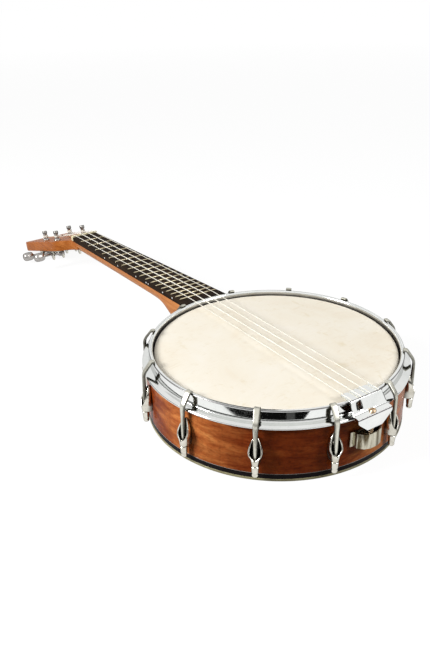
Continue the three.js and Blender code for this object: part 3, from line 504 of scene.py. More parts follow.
def piece(name, bm, space, finish, slot, *nodes, body=POT_BODY, sharp=38):
    return fitted(drawn(name, bm, space, finish, sharp=sharp), slot, *nodes, body=body)


def carved(obj, *tools):
    """Cuts the tools out of obj and removes them."""
    for tool in tools:
        cut = obj.modifiers.new("cut", "BOOLEAN")
        cut.operation = "DIFFERENCE"
        cut.solver = "EXACT"
        cut.object = tool
    settled(obj)
    for tool in tools:
        bpy.data.objects.remove(tool)
    return obj


# Geometry node trees


def new_tree(name, **inputs):
    """An empty tree with a geometry input and output, the named inputs, each given as its kind, and a finish."""
    tree = bpy.data.node_groups.new(name, "GeometryNodeTree")
    tree.interface.new_socket("Geometry", in_out="INPUT", socket_type="NodeSocketGeometry")
    for label, kind in {**inputs, "Finish": "Material"}.items():
        tree.interface.new_socket(label.replace("_", " "), in_out="INPUT", socket_type="NodeSocket" + kind)
    tree.interface.new_socket("Geometry", in_out="OUTPUT", socket_type="NodeSocketGeometry")
    return tree, node(tree, "NodeGroupInput").outputs


def end_tree(tree, given, made):
    real = node(tree, "GeometryNodeRealizeInstances", {0: made})
    shown = node(tree, "GeometryNodeSetMaterial", {"Geometry": real, "Material": given["Finish"]})
    node(tree, "NodeGroupOutput", {0: shown})
    return tree


def copy_of(tree, given):
    return node(tree, "GeometryNodeObjectInfo", {"Object": given["Copy"]}).outputs["Geometry"]


def on_points(tree, given, points, copy, **inputs):
    """Ends a tree with the copy on each of the points."""
    inputs.update(Points=points, Instance=copy)
    return end_tree(tree, given, node(tree, "GeometryNodeInstanceOnPoints", inputs))


def round_bar(tree, given, curve, sides, radius):
    """Ends a tree with a round bar along the curve."""
    section = node(tree, "GeometryNodeCurvePrimitiveCircle", {"Resolution": sides, "Radius": radius})
    inputs = {"Curve": curve, "Profile Curve": section, "Fill Caps": True}
    return end_tree(tree, given, node(tree, "GeometryNodeCurveToMesh", inputs))


def ring_tree():
    """Copies of an object, which is drawn in its place, turned about the pot's axis."""
    tree, given = new_tree("Ring of copies", Copy="Object", Count="Int", First_turn="Float", Middle="Vector")
    points = node(tree, "GeometryNodePoints", {"Count": given["Count"], "Position": given["Middle"]})
    index = node(tree, "GeometryNodeInputIndex")
    share = math_of(tree, "DIVIDE", index, given["Count"])
    angle = math_of(tree, "MULTIPLY_ADD", share, tau, given["First turn"])
    back = node(tree, "ShaderNodeVectorMath", {0: given["Middle"], "Scale": -1.0}, operation="SCALE")
    centred = node(tree, "GeometryNodeTransform", {"Geometry": copy_of(tree, given), "Translation": back})
    return on_points(tree, given, points, centred, Rotation=node(tree, "ShaderNodeCombineXYZ", {"Z": angle}))


def points_tree():
    """A copy of an object on each vertex of the piece."""
    tree, given = new_tree("Copies on places", Copy="Object")
    points = node(tree, "GeometryNodeMeshToPoints", {"Mesh": given["Geometry"]})
    return on_points(tree, given, points, copy_of(tree, given))


def line_tree():
    """A round bar along the piece's edges."""
    tree, given = new_tree("Round bar on a line", Radius="Float", Sides="Int")
    curve = node(tree, "GeometryNodeMeshToCurve", {"Mesh": given["Geometry"]})
    return round_bar(tree, given, curve, given["Sides"], given["Radius"])


def fret_tree():
    """Fret wires across the board, each place worked out from the string length. The copy is a wire 1 m wide."""
    tree, given = new_tree("Fret wires", Copy="Object", Count="Int", String_length="Float", Nut_place="Float",
                           Width_at_pot="Float", Width_at_nut="Float")
    index = node(tree, "GeometryNodeInputIndex")
    semitones = math_of(tree, "DIVIDE", math_of(tree, "ADD", index, 1.0), -12.0)
    left = math_of(tree, "SUBTRACT", 1.0, math_of(tree, "POWER", 2.0, semitones))
    place = math_of(tree, "SUBTRACT", given["Nut place"], math_of(tree, "MULTIPLY", given["String length"], left))
    position = node(tree, "ShaderNodeCombineXYZ", {"X": place})
    points = node(tree, "GeometryNodePoints", {"Count": given["Count"], "Position": position})
    share = math_of(tree, "DIVIDE", place, given["Nut place"])
    taper = math_of(tree, "SUBTRACT", given["Width at nut"], given["Width at pot"])
    width = math_of(tree, "MULTIPLY_ADD", share, taper, given["Width at pot"])
    scale = node(tree, "ShaderNodeCombineXYZ", {"X": 1.0, "Y": width, "Z": 1.0})
    return on_points(tree, given, points, copy_of(tree, given), Scale=scale)


def worm_tree():
    """A thread wound about Z, as a bar on a spiral."""
    tree, given = new_tree("Worm thread", Turns="Float", Radius="Float", Length="Float", Thickness="Float")
    inputs = {"Resolution": 16, "Rotations": given["Turns"], "Start Radius": given["Radius"],
              "End Radius": given["Radius"], "Height": given["Length"]}
    return round_bar(tree, given, node(tree, "GeometryNodeCurveSpiral", inputs), 5, given["Thickness"])


RING = ring_tree()
PLACES = points_tree()
LINE = line_tree()
FRET_WIRES = fret_tree()
WORM = worm_tree()


def grown(name, tree, start=(), edges=(), sharp=38, space=None, **values):
    """A plain mesh made by a tree from the start points and edges. Its inputs are given by name."""
    mesh = bpy.data.meshes.new(name)
    mesh.from_pydata([tuple(p) for p in start], list(edges), [])
    obj = on_stage(name, mesh)
    modifier = obj.modifiers.new("tree", "NODES")
    modifier.node_group = tree
    for socket in tree.interface.items_tree:
        key = socket.name.replace(" ", "_")
        if socket.in_out == "INPUT" and key in values:
            modifier[socket.identifier] = values[key]
    settled(obj, sharp)
    if "Copy" in values:
        bpy.data.objects.remove(values["Copy"])
    if space:
        obj.data.transform(space)
    return obj


def ringed(name, shape, finish, first=0, count=HOOKS):
    """Copies of a shape as one mesh, at the hooks' angles round the pot from the first one on."""
    copy = drawn(name + "_copy", shape, POT)
    return grown(name, RING, Copy=copy, Count=count, First_turn=hook_angle(first), Middle=POT.to_translation(),
                 Finish=finish)


def at_hook(name, shape, i, finish):
    """One hook or nut, turned to its place round the pot, on its own body."""
    fitted(ringed(name, shape, finish, i, 1), "nickel", name, body=name)


# Pot


def rim():
    pale_top, black_top, cream_top = -48.0, -48.8, -52.4
    core = [
        (RIM_INSIDE, -POT_DEPTH + 0.8), (RIM_INSIDE + 0.8, -POT_DEPTH), (LEDGE, -POT_DEPTH), (LEDGE, pale_top),
        (RIM_RADIUS, pale_top), (RIM_RADIUS, -30), (RIM_RADIUS, -10.6), (RIM_RADIUS, -10.4), (RIM_RADIUS - 0.5, -9.9),
        (97.9, -9.9), (97.9, -2.4), (96.3, -0.9), (RIM_INSIDE, -0.9), (RIM_INSIDE, -30),
    ]
    piece("rim_wood", turned(core, ROUND), POT, MAHOGANY, "mahogany", "rim")
    lines = (
        ("rim_pale_line", pale_top, black_top, 0.0, PALE_LINE),
        ("rim_black_line", black_top, cream_top, 0.05, BLACK_LINE),
        ("rim_cream_edge", cream_top, -POT_DEPTH, 0.2, CREAM),
    )
    for name, top, bottom, proud, finish in lines:
        r = RIM_RADIUS + proud
        section = [(LEDGE, bottom), (r - 0.4, bottom), (r, bottom + 0.4), (r, top - 0.15), (r - 0.15, top),
                   (LEDGE, top)]
        piece(name, turned(section, ROUND), POT, finish, "mahogany")


def head():
    section = [
        (0, 0), (30, 0), (60, 0), (88, 0), (95.2, 0), (96.4, -0.04), (97.1, -0.16), (97.6, -0.45), (97.85, -0.95),
        (97.95, -2.0), (98.6, -4.6), (SKIN_RADIUS, -5.6), (99.4, -6.1), (101.6, -6.1), (102.4, -6.9), (102.4, -8.6),
        (101.7, -9.3), (99.0, -9.3), (98.2, -8.6), (97.6, -4.6), (97.2, -1.6), (96.9, -0.95), (96.2, -0.66),
        (95, -0.6), (60, -0.6), (0, -0.6),
    ]
    piece("calfskin_head", turned(section, ROUND), POT, CALFSKIN, "skin", "head")


def tension_hoop():
    """A tall thin band with a rounded top edge, and a flange that rolls out and down from its foot."""
    band = 102.4
    section = [
        (HOOP_INSIDE, -5.8), (HOOP_INSIDE, -2), (HOOP_INSIDE, 1.9), (HOOP_INSIDE, 2.3), (99.3, 2.9), (99.7, 3.4),
        (100.1, 3.7), (100.4, HOOP_RISE), (100.6, HOOP_RISE), (101.4, HOOP_RISE), (101.6, 3.78), (101.9, 3.66),
        (102.15, 3.44), (102.32, 3.14), (band, 2.8), (band, 2.6), (band, -4.6), (band, -4.8), (102.5, -5.25),
        (102.8, -5.55), (103.3, -5.75), (104.4, -5.95), (105.6, -6.2), (106.7, -6.55), (107.5, -7.05), (107.9, -7.6),
        (FLANGE_RADIUS, -8.1), (107.85, -8.5), (107.45, -8.85), (106.8, -HOOP_DROP), (103.2, -HOOP_DROP),
        (102.0, -8.7), (101.5, -5.8),
    ]
    # Painted shade: a dark inner face, a dark line along the outer top edge, and a slightly darker flange.
    painted_shade = {0: 1.0, 1: 1.0, 2: 0.5, 11: 0.75, 12: 0.95, 13: 0.6, **{n: 0.1 for n in range(18, 31)}}
    piece("tension_hoop_band", turned(section, 288, painted_shade=painted_shade), POT, CHROME, "chrome", "tension_hoop", sharp=50)


def hook_shape():
    """A flat claw over the hoop that leans outward past its foot, then narrows and rounds to a rod."""
    rod, claw_width, claw_thickness = ROD * 0.95, 2.45, 0.85
    lean, bend, elbow_bend = radians(36), 2.2, 3.2
    narrowing, points_round = 24, 28
    claw = HOOP_RISE + 0.1 + claw_thickness
    line = [(HOOK_RADIUS - inward, claw) for inward in (9.2, 8.9, 8.2)]
    for i in range(9):
        angle = pi / 2 + (lean - pi / 2) * i / 8
        line.append((HOOP_OUTSIDE - 0.5 + bend * cos(angle), claw - bend + bend * sin(angle)))
    x, z = line[-1]
    elbow = (HOOK_RADIUS, z - (HOOK_RADIUS - x) / tan(lean))
    line += [(x + (elbow[0] - x) * t, z + (elbow[1] - z) * t) for t in (0.25, 0.5, 0.7)]
    before = (elbow[0] - elbow_bend * sin(lean), elbow[1] + elbow_bend * cos(lean))
    after = (elbow[0], elbow[1] - elbow_bend)
    for i in range(1, 8):
        t = i / 8
        line.append(tuple(before[k] * (1 - t) ** 2 + 2 * elbow[k] * t * (1 - t) + after[k] * t * t for k in (0, 1)))
    line += [(HOOK_RADIUS, after[1] - d) for d in (0, 2, 4.5, 7, 9.5, 12, 15, 19, 26, 33)] + [(HOOK_RADIUS, -45.4)]
    loops, painted_shade = [], []
    for n, (x, z) in enumerate(line):
        a, b = line[max(n - 1, 0)], line[min(n + 1, len(line) - 1)]
        along = Vector((b[0] - a[0], b[1] - a[1])).normalized()
        drop = held((claw - z) / narrowing)
        wide = claw_width + (rod - claw_width) * drop
        thick = claw_thickness + (rod - claw_thickness) * drop
        roundness = 2 / (5 - 2.6 * min(drop * 1.5, 1))
        if n == 0:
            wide, thick = wide * 0.9, thick * 0.6
        loop, laid = [], []
        for s in range(points_round):
            c, d = cos(s / points_round * tau), sin(s / points_round * tau)
            y = copysign(abs(c) ** roundness, c) * wide
            up = copysign(abs(d) ** roundness, d) * thick
            loop.append((x - along.y * up, y, z + along.x * up))
            # Painted shade: dark on the side of the claw and rod that faces the hoop and rim, and down both edges,
            # the right one more.
            behind, right, left = held((0.1 - d) / 0.5), held((c - 0.3) / 0.35), held((-c - 0.6) / 0.3)
            laid.append(max(behind, 0.8 * right, 0.7 * left))
        loops.append(loop)
        painted_shade.append(laid)
    return closed_loops(loops, painted_shade)


def shoe_shape():
    """A cast teardrop pocket on the rim: a bright round lip about its mouth, and a collar for the rod below."""
    back, wall = RIM_RADIUS + 0.15, 1.25
    # height, half width, reach of the lip, share by which the mouth is closed
    rows = (
        (-15.4, 0.6, 1.5, 0), (-16.0, 1.35, 2.0, 0), (-17.2, 2.3, 2.7, 0), (-19.0, 3.3, 3.4, 0), (-21.4, 4.3, 4.3, 0),
        (-24.0, 5.0, 5.2, 0), (-26.6, 5.35, 6.1, 0.02), (-28.8, 5.3, 6.9, 0.1), (-30.6, 5.05, 7.4, 0.32),
        (-31.9, 4.65, 7.75, 0.64), (-32.7, 4.35, 7.9, 0.92), (-33.1, 4.2, 7.95, 1), (-34.4, 3.8, 7.9, 1),
        (-35.8, 3.5, 7.7, 1), (-37.1, 3.35, 7.5, 1), (-37.6, 3.1, 7.2, 1),
    )
    steps, bead = 11, 5
    loops, painted_shade = [], []
    for z, half, reach, closed in rows:
        outer, inner = [], []
        thick = wall * min(half / 3, 1)
        for i in range(steps):
            share = i / (steps - 1)
            angle = share * pi / 2
            side = half * (0.72 + 0.28 * sin(min(1.7 * share, 1) * pi / 2))
            round_side = half * cos(angle) ** 0.75 if share < 1 else 0.0
            x = (reach - thick / 2) * share
            x += (reach * sin(angle) - x) * closed
            y = side + (round_side - side) * closed
            outer.append((back + x, y))
            if closed >= 1:
                inner.append((back + reach, 0.0))
            else:
                inner.append((back + max(x, wall * 0.3), max(y - thick, 0.05 * half)))
        (xo, yo), (xi, yi) = outer[-1], inner[-1]
        lip = []
        for i in range(1, bead):
            a = i / bead * pi
            lip.append(((xo + xi) / 2 + sin(a) * (yo - yi) / 2, (yo + yi) / 2 + cos(a) * (yo - yi) / 2))
        left = outer + lip + inner[::-1]
        loops.append([(x, y, z) for x, y in left] + [(x, -y, z) for x, y in left[::-1]])
        # Painted shade: dark where the shoe meets the wood and inside its pocket; the lip stays bright.
        at_wood = [0.8 * max(1 - 2.6 * i / (steps - 1), 0) for i in range(steps)]
        pocket = [0.0 if closed >= 1 else min(1.0, i * 0.7) for i in range(steps)]
        laid = at_wood + [0.0] * (bead - 1) + pocket
        painted_shade.append(laid + laid[::-1])
    return closed_loops(loops, painted_shade)


def fasteners():
    """Hooks and barrel nuts, each on its own body, and the shoes with their bolts inside the rim."""
    for i, name in enumerate(numbered("hook")):
        at_hook(name, hook_shape(), i, HOOK_NICKEL)
    barrel = [
        (0, -47.8), (1.1, -47.7), (1.8, -47.35), (2.25, -46.7), (2.4, -45.9), (2.35, -45.2), (2.1, -44.75),
        (2.15, -44.4), (2.45, -43.9), (2.6, -42.5), (2.75, -39.6), (2.85, -39.0), (2.85, -38.2), (2.65, -38.0),
        (1.9, -38.0), (1.9, -46.0), (0, -46.6),
    ]
    for i, name in enumerate(numbered("barrel_nut")):
        at_hook(name, moved(turned(barrel, 28), shift(HOOK_RADIUS, 0, 0)), i, NICKEL)
    fitted(ringed("shoes", shoe_shape(), NICKEL), "nickel", *numbered("shoe"))
    washer = turned([(1.8, 0), (3.9, 0), (4, 0.15), (4, 0.7), (3.85, 0.8), (1.8, 0.8)], 32)
    corners = [a / 6 * tau for a in range(6)]
    hexagon = prism([(3.1 * cos(a), 3.1 * sin(a)) for a in corners], 0.8, 3, 0.25)
    shank = turned([(0, -12), (1.7, -12), (1.7, 3.2), (1.4, 3.5), (0, 3.5)], 20)
    bolt = moved(together(washer, hexagon, shank), shift(RIM_INSIDE - GAP, 0, BOLT_HEIGHT) @ turn("Y"))
    fitted(ringed("shoe_bolts", bolt, NICKEL), "nickel")


# Tailpiece


def tailpiece():
    """A bent sheet: a lip on the hoop, a sloping web with a window, a shelf for the screw and a hanging flap."""
    top = HOOP_RISE + GAP + 0.5
    bends = [(-92, top - 0.5, 0), (-102.9, top - 0.45, 0.35), (-103.3, top + 0.55, 0.6), (-108.9, -3.9, 1.1),
             (-114.0, -4.4, 0.9), (-114.25, -15.4, 0)]
    path = []
    for n, (x, z, radius) in enumerate(bends):
        p = Vector((x, z))
        if not radius:
            path.append(p)
            continue
        a, b = ((Vector(bends[near][:2]) - p).normalized() for near in (n - 1, n + 1))
        path += [p + a * radius * (1 - t) ** 2 + b * radius * t**2 for t in (0, 0.25, 0.5, 0.75, 1)]
    dense = []
    for a, b in zip(path, path[1:]):
        steps = max(1, round((b - a).length / 1.6))
        dense += [a.lerp(b, s / steps) for s in range(steps)]
    dense.append(path[-1])

    def half_width(x, z):
        lip, web, shelf, flap_end = 14.2, 14.6, 16.3, 7.1
        shelf_height, flap_start, flap_foot = -4, -7.568, -15.4
        if x > -HOOP_OUTSIDE:
            return lip
        if z > shelf_height:
            return web + (shelf - web) * held((top - z) / (top - shelf_height)) ** 0.7
        return shelf + (flap_end - shelf) * held((flap_start - z) / (flap_start - flap_foot))

    columns = [-1, -0.94, -0.75, -0.5, -0.25, 0, 0.25, 0.36, 0.5, 0.64, 0.8, 0.94, 1]
    # place of each dark crease, how far its painted shade reaches, and its share
    creases = ((-103.25, top + 0.4, 0.35, 1.0), (-109.0, -4.0, 0.7, 0.5), (-114.1, -4.6, 0.45, 1.0))
    bm, laid = new_shape()
    rows = []
    for p in dense:
        row = [bm.verts.new((p.x, c * half_width(p.x, p.y), p.y)) for c in columns]
        for vertex in row:
            vertex[laid] = max(dark * (dist(p, (x, z)) < near) for x, z, near, dark in creases)
        rows.append(row)
    for r, (a, b) in enumerate(zip(rows, rows[1:])):
        middle = (dense[r] + dense[r + 1]) / 2
        for c, across in enumerate(columns[:-1]):
            window = -107.6 < middle.x < -104.6 and middle.y > -3 and 0.36 <= across < 0.64
            if not window:
                bm.faces.new((a[c], a[c + 1], b[c + 1], b[c]))
    plate = drawn("tailpiece_plate", tidy(bm), POT, CHROME)
    thick = plate.modifiers.new("sheet", "SOLIDIFY")
    thick.thickness, thick.offset = 0.001, 0
    soft = plate.modifiers.new("edges", "BEVEL")
    soft.width, soft.segments, soft.angle_limit = 0.00022, 2, radians(50)
    settled(plate)
    # The side that faces the hoop is painted dark, so that the hoop mirrors a dark plate instead of a bright one
    laid = plate.data.attributes["Grime"].data
    for vertex in plate.data.vertices:
        if vertex.normal.x > 0.3:
            laid[vertex.index].value = 0.92
    fitted(plate, "chrome", "tailpiece")


def bracket():
    """A faceted cup on the rim that the tailpiece's screw goes into, with its foot and bolt."""
    inside, reach, half = RIM_RADIUS + GAP, 10.0, 12.0
    low, high = -32.0, -19.5
    sheet, foot_sheet = 1.3, 1.4
    bends = ((0, 1), (0.42, 0.98), (0.84, 0.66), (1, 0.3), (1, -0.3), (0.84, -0.66), (0.42, -0.98), (0, -1))

    def cup_line(cut):
        return [(-inside - (reach - cut) * out, (half - cut) * across) for out, across in bends]

    def on_rim(height, places):
        return [(-sqrt((inside + 0.1 + height) ** 2 - y * y), y) for y in places]

    wall = prism(cup_line(0) + cup_line(sheet)[::-1], low, high, 0.3)
    floor = prism(cup_line(0.7), low + 0.3, low + 1.6)
    places = (14.5, 10, 5, 0, -5, -10, -14.5)
    foot = prism(on_rim(foot_sheet, places) + on_rim(0, places[::-1]), low, high, 0.3)
    bolt = turned([(0, 0), (3.4, 0), (3.6, 0.3), (3.5, 1.2), (2.6, 1.9), (0, 2.2)], 28)
    bolt = moved(bolt, shift(-inside - foot_sheet, 0, -DOWEL_DROP) @ turn("Y"))
    cup = together(wall, floor, foot, bolt)
    piece("tailpiece_cup", cup, POT, CUP_NICKEL, "nickel", "tailpiece_bracket", sharp=25)


def hanger_screw():
    """The brass screw on the tailpiece's shelf, with a slot across its domed head."""
    low = -3.6
    screw = [(0, -36.2), (1.1, -35.4), (1.5, -34.4), (1.5, low - 0.1), (2.5, low), (2.6, low + 0.4),
             (2.45, low + 1.1), (1.9, low + 1.6), (0, low + 1.85)]
    made = drawn("tailpiece_screw_brass", turned(screw, 32), POT @ shift(SCREW_PLACE, 0, 0), BRASS)
    slot = drawn("slot", block((SCREW_PLACE - 0.35, -4, low + 1.0), (SCREW_PLACE + 0.35, 4, low + 4)), POT)
    fitted(carved(made, slot), "brass", "tailpiece_screw", body="tailpiece_screw")
    thread = grown("tailpiece_screw_thread", WORM, Turns=30.0, Radius=1.5, Length=26.0, Thickness=0.28, Finish=BRASS,
                   space=POT @ shift(SCREW_PLACE, 0, -34.2))
    fitted(thread, "brass", body="tailpiece_screw")


# Neck


def smooth_table(table, x):
    """Value at x in rows of (place, value), on a smooth line through them."""
    last = len(table) - 1
    n = min(max(i for i in range(len(table)) if table[i][0] <= x or i == 0), last - 1)
    (x0, y0), (x1, y1), (x2, y2), (x3, y3) = (table[min(max(n + d, 0), last)] for d in (-1, 0, 1, 2))
    width = x2 - x1
    t = (x - x1) / width
    slope1, slope2 = (y2 - y0) / (x2 - x0) * width, (y3 - y1) / (x3 - x1) * width
    return (
        (2 * t**3 - 3 * t**2 + 1) * y1 + (t**3 - 2 * t**2 + t) * slope1
        + (3 * t**2 - 2 * t**3) * y2 + (t**3 - t**2) * slope2
    )


# share of the neck's length from its pot end, and depth there as a share of the heel's
NECK_DEPTH = (
    (-0.02, 1), (0.073, 0.97), (0.086, 0.87), (0.104, 0.765), (0.126, 0.645), (0.152, 0.545), (0.182, 0.462),
    (0.215, 0.405), (0.25, 0.38), (0.33, 0.367), (0.68, 0.347), (1, 0.338), (1.03, 0.338),
)
# share of the headstock's length, and half width there as a share of its greatest width
HEADSTOCK_OUTLINE = (
    (-0.06, 0.262), (0.02, 0.264), (0.09, 0.28), (0.15, 0.33), (0.21, 0.41), (0.27, 0.45), (0.36, 0.462),
    (0.7, 0.478), (0.96, 0.5), (1, 0.488),
)


def board_width(x):
    return BOARD_AT_POT + (BOARD_AT_NUT - BOARD_AT_POT) * x / NECK_LENGTH


def pot_space():
    """What the pot takes out of the neck's end: the hoop's band and flange and the rim."""
    flange, band, wood_face = FLANGE_RADIUS + GAP, HOOP_OUTSIDE + GAP, RIM_RADIUS + GAP
    foot, flange_top = -HOOP_DROP - GAP, -2.5
    profile = [(0, -70), (wood_face, -70), (wood_face, foot), (flange, foot), (flange, flange_top),
               (band, flange_top), (band, 20), (0, 20)]
    return drawn("pot_space", turned(profile, ROUND), POT)


def dowel_bar(start, end, bevel=0.0):
    """A square bar on the dowel stick's line."""
    half = DOWEL / 2
    return block((start, -half, -DOWEL_DROP - half), (end, half, -DOWEL_DROP + half), bevel)


def neck():
    """The shaft with its heel, cut to the pot and mortised for the dowel stick, and the headstock."""
    stations = [BOARD_START / NECK_LENGTH] + [i / 200 for i in range(70)] + [0.36 + i / 40 for i in range(26)] + [1.0]
    heel_end = 2.2  # above the rim's foot
    heel = POT_DEPTH + BOARD_RISE - heel_end
    top = -BOARD_THICKNESS
    loops = []
    for s in stations:
        share = smooth_table(NECK_DEPTH, s)
        fullness = 2 + 0.6 * eased(held((share - 0.365) / 0.22)) - 0.7 * eased(held((share - 0.4) / 0.6))
        depth = heel * share + top
        x, half = s * NECK_LENGTH, board_width(s * NECK_LENGTH) / 2
        loop = [(x, half, top), (x, -half, top)]
        for i in range(1, 32):
            a = i / 32 * pi
            y = -copysign(abs(cos(a)) ** (2 / fullness), cos(a)) * half
            loop.append((x, y, top - sin(a) ** (2 / fullness) * depth))
        loops.append(loop)
    made = drawn("neck_shaft", closed_loops(loops), NECK, NECK_WOOD)
    mortise = drawn("mortise", dowel_bar(60, MORTISE_END), POT)
    fitted(carved(made, pot_space(), mortise), "neckWood", "neck")

    edge = []
    for i in range(61):
        share = -0.06 + 1.06 * i / 60
        edge.append((share * HEADSTOCK_LENGTH, smooth_table(HEADSTOCK_OUTLINE, share) * HEADSTOCK_WIDTH))
    tip_rise, tip_half = 3, 28
    across = (0.75, 0.5, 0.25, 0, -0.25, -0.5, -0.75)
    tip = [(HEADSTOCK_LENGTH + tip_rise * (1 - k * k), k * tip_half) for k in across]
    slab = prism(edge + tip + [(x, -y) for x, y in reversed(edge)], -HEADSTOCK_THICKNESS, 0)
    slab = drawn("headstock", rounded(slab, 0.9, 3, 60), HEADSTOCK, HEADSTOCK_WOOD)
    above = drawn("above", block((-30, -40, -BOARD_THICKNESS), (NECK_LENGTH + 5, 40, 20)), NECK)
    fitted(carved(slab, above), "neckWood", "neck")


def fingerboard():
    """The board with its fret wires, and a white dot on its side at each marked fret, two at the twelfth."""
    low, edge = -BOARD_THICKNESS + 0.02, 0.5
    loops = []
    for x in (BOARD_START, NECK_LENGTH):
        half = board_width(x) / 2
        loops.append([(x, half, -edge), (x, half - edge, 0), (x, edge - half, 0), (x, -half, -edge), (x, -half, low),
                      (x, half, low)])
    board = drawn("fingerboard_wood", closed_loops(loops), NECK, EBONY)
    fitted(carved(board, pot_space()), "ebony", "fingerboard")

    foot = -0.4
    crown = [(0.62, foot), (0.62, 0.05), (0.58, 0.34), (0.46, 0.58), (0.25, 0.72), (0, 0.76)]
    section = crown + [(-x, z) for x, z in reversed(crown[:-1])]
    ends = ((-0.5, 0.2), (-0.49, 0.62), (-0.465, 1), (0.465, 1), (0.49, 0.62), (0.5, 0.2))
    loops = [[(x * s, y, foot + (z - foot) * s) for x, z in section] for y, s in ends]
    wire = drawn("fret_copy", moved(closed_loops(loops), Matrix.Diagonal((0.001, 1, 0.001, 1))))
    frets = grown("fret_wires", FRET_WIRES, Copy=wire, Count=FRETS, String_length=SCALE / 1000,
                  Nut_place=NECK_LENGTH / 1000, Width_at_pot=(BOARD_AT_POT - 1.9) / 1000,
                  Width_at_nut=(BOARD_AT_NUT - 1.5) / 1000, Finish=FRET_WIRE, space=NECK @ Matrix.Scale(1000, 4))
    fitted(frets, "nickel")

    places = []
    for fret, offset in ((5, 0), (7, 0), (10, 0), (12, -2.2), (12, 2.2), (15, 0), (17, 0)):
        x = (fret_place(fret) + fret_place(fret - 1)) / 2 + offset
        places.append((x, board_width(x) / 2, -2.0))
    dot = turned([(0, 0.06), (0.7, 0.06), (0.8, 0), (0.8, -0.4), (0, -0.4)], 20)
    dots = grown("side_dots", PLACES, places, Copy=drawn("dot_copy", moved(dot, turn("X"))), Finish=PEARL, space=NECK)
    fitted(dots, "bone")


def fret_place(number):
    return NECK_LENGTH - SCALE * (1 - 2 ** (-number / 12))


def string_lanes(spacing):
    return [(1.5 - i) * spacing for i in range(4)]


def string_nut():
    half = BOARD_AT_NUT / 2
    start, end = NECK_LENGTH + 0.02, NECK_LENGTH + 5
    profile = [(start, -BOARD_THICKNESS), (end, -BOARD_THICKNESS), (end, 0.6), (end - 1.2, 1.35), (start + 1.1, 1.7),
               (start, 1.5)]
    loops = [[(x, y, z) for x, z in profile] for y in (-half, half)]
    made = drawn("nut_bone", rounded(closed_loops(loops), 0.35), NECK, BONE)
    slots = []
    for (_, diameter), lane in zip(STRINGS, string_lanes(NUT_SPACING)):
        w = diameter / 2 + 0.12
        slots.append(drawn("slot", block((start - 2, lane - w, 1.1), (end + 2, lane + w, 3)), NECK))
    fitted(carved(made, *slots), "bone", "nut")


def dowel_stick():
    start = GAP - sqrt(RIM_INSIDE**2 - (DOWEL / 2) ** 2)
    piece("dowel_wood", dowel_bar(start, MORTISE_END - 2, 1.0), POT, NECK_WOOD, "neckWood", "dowel_stick")


# Tuners


def tuner_post(side_name, side, place, along, out):
    """A string post with its collar, and the gear under the headstock that turns it."""
    body = "tuner_post_%s_%s" % (side_name, place)
    gear_top = 1.6 - TUNE_DROP
    low = gear_top - 3.2
    post = [
        (0, low - 1.5), (1.8, low - 1.5), (2.4, low - 1.1), (2.4, low), (3, low), (3, 0.6), (4.1, 0.6), (4.2, 0.8),
        (4.15, 1.3), (3.7, 1.9), (3.1, 2.3), (POST_RADIUS, 2.6), (POST_RADIUS, 7.6), (2.3, 7.9), (2.85, 8.2),
        (2.9, 8.4), (2.9, 11.2), (2.65, 11.6), (2.0, 11.75), (0, 11.75),
    ]
    at = HEADSTOCK @ shift(along, side * out, 0)
    teeth = []
    for i in range(GEAR_TEETH):
        for step, r in ((-0.36, 4.55), (-0.2, 5.35), (0.2, 5.35), (0.36, 4.55)):
            a = (i + step) / GEAR_TEETH * tau
            teeth.append((r * cos(a), r * sin(a)))
    gear = prism(teeth, low, gear_top, 0.12, 1)
    # Painted shade on the post's head, so that it reads as a dark cylinder.
    made = drawn(body + "_metal", turned(post, 32, painted_shade={n: 0.6 for n in range(13, 19)}), at, TUNER_NICKEL)
    hole = turned([(0, -5), (0.55, -5), (0.55, 5), (0, 5)], 16)
    carved(made, drawn("hole", moved(hole, shift(0, 0, 9.8) @ turn("X", pi / 2)), at))
    fitted(made, "nickel", body, body=body)
    piece(body + "_gear", gear, at, TUNER_NICKEL, "nickel", body=body)


def tuner_button(side_name, side, place, along, out):
    """A fluted knob on its shaft, with the worm between the plate's ears."""
    body = "tuner_button_%s_%s" % (side_name, place)
    inner, outer = out - EAR_PLACE, out + EAR_PLACE
    knob = ((0, 0), (1.75, 0), (1.9, 0.2), (1.9, 0.7), (2.6, 1.0), (3.9, 1.5), (4.75, 2.4), (5.15, 3.7), (5.3, 5.4),
            (5.3, 8.6), (5.1, 10.6), (4.55, 12.1), (3.5, 13.1), (1.8, 13.7), (0, 13.8))
    start = BUTTON_PLACE - knob[-1][1] / 2
    knob = [(radius, start + height) for radius, height in knob]
    knob = turned(knob, 72, flutes=12, flute_depth=0.16, fluted=(6, 7, 8, 9, 10))
    shaft = turned([(0, inner - 0.4), (1.0, inner - 0.4), (1.4, inner), (1.4, start + 1), (0, start + 1)], 20)
    core = turned([(0, inner + 1.6), (2.0, inner + 1.6), (2.0, outer - 1.6), (0, outer - 1.6)], 24)
    at = HEADSTOCK @ shift(along + WORM_OFFSET, 0, -TUNE_DROP) @ turn("X", -pi / 2 * side)
    piece(body + "_metal", together(shaft, core, knob), at, TUNER_NICKEL, "nickel", body, body=body)
    thread = grown(body + "_worm", WORM, Turns=5.0, Radius=2.05, Length=float(outer - inner - 4), Thickness=0.5,
                   Finish=TUNER_NICKEL, space=at @ shift(0, 0, inner + 2))
    fitted(thread, "nickel", body=body)


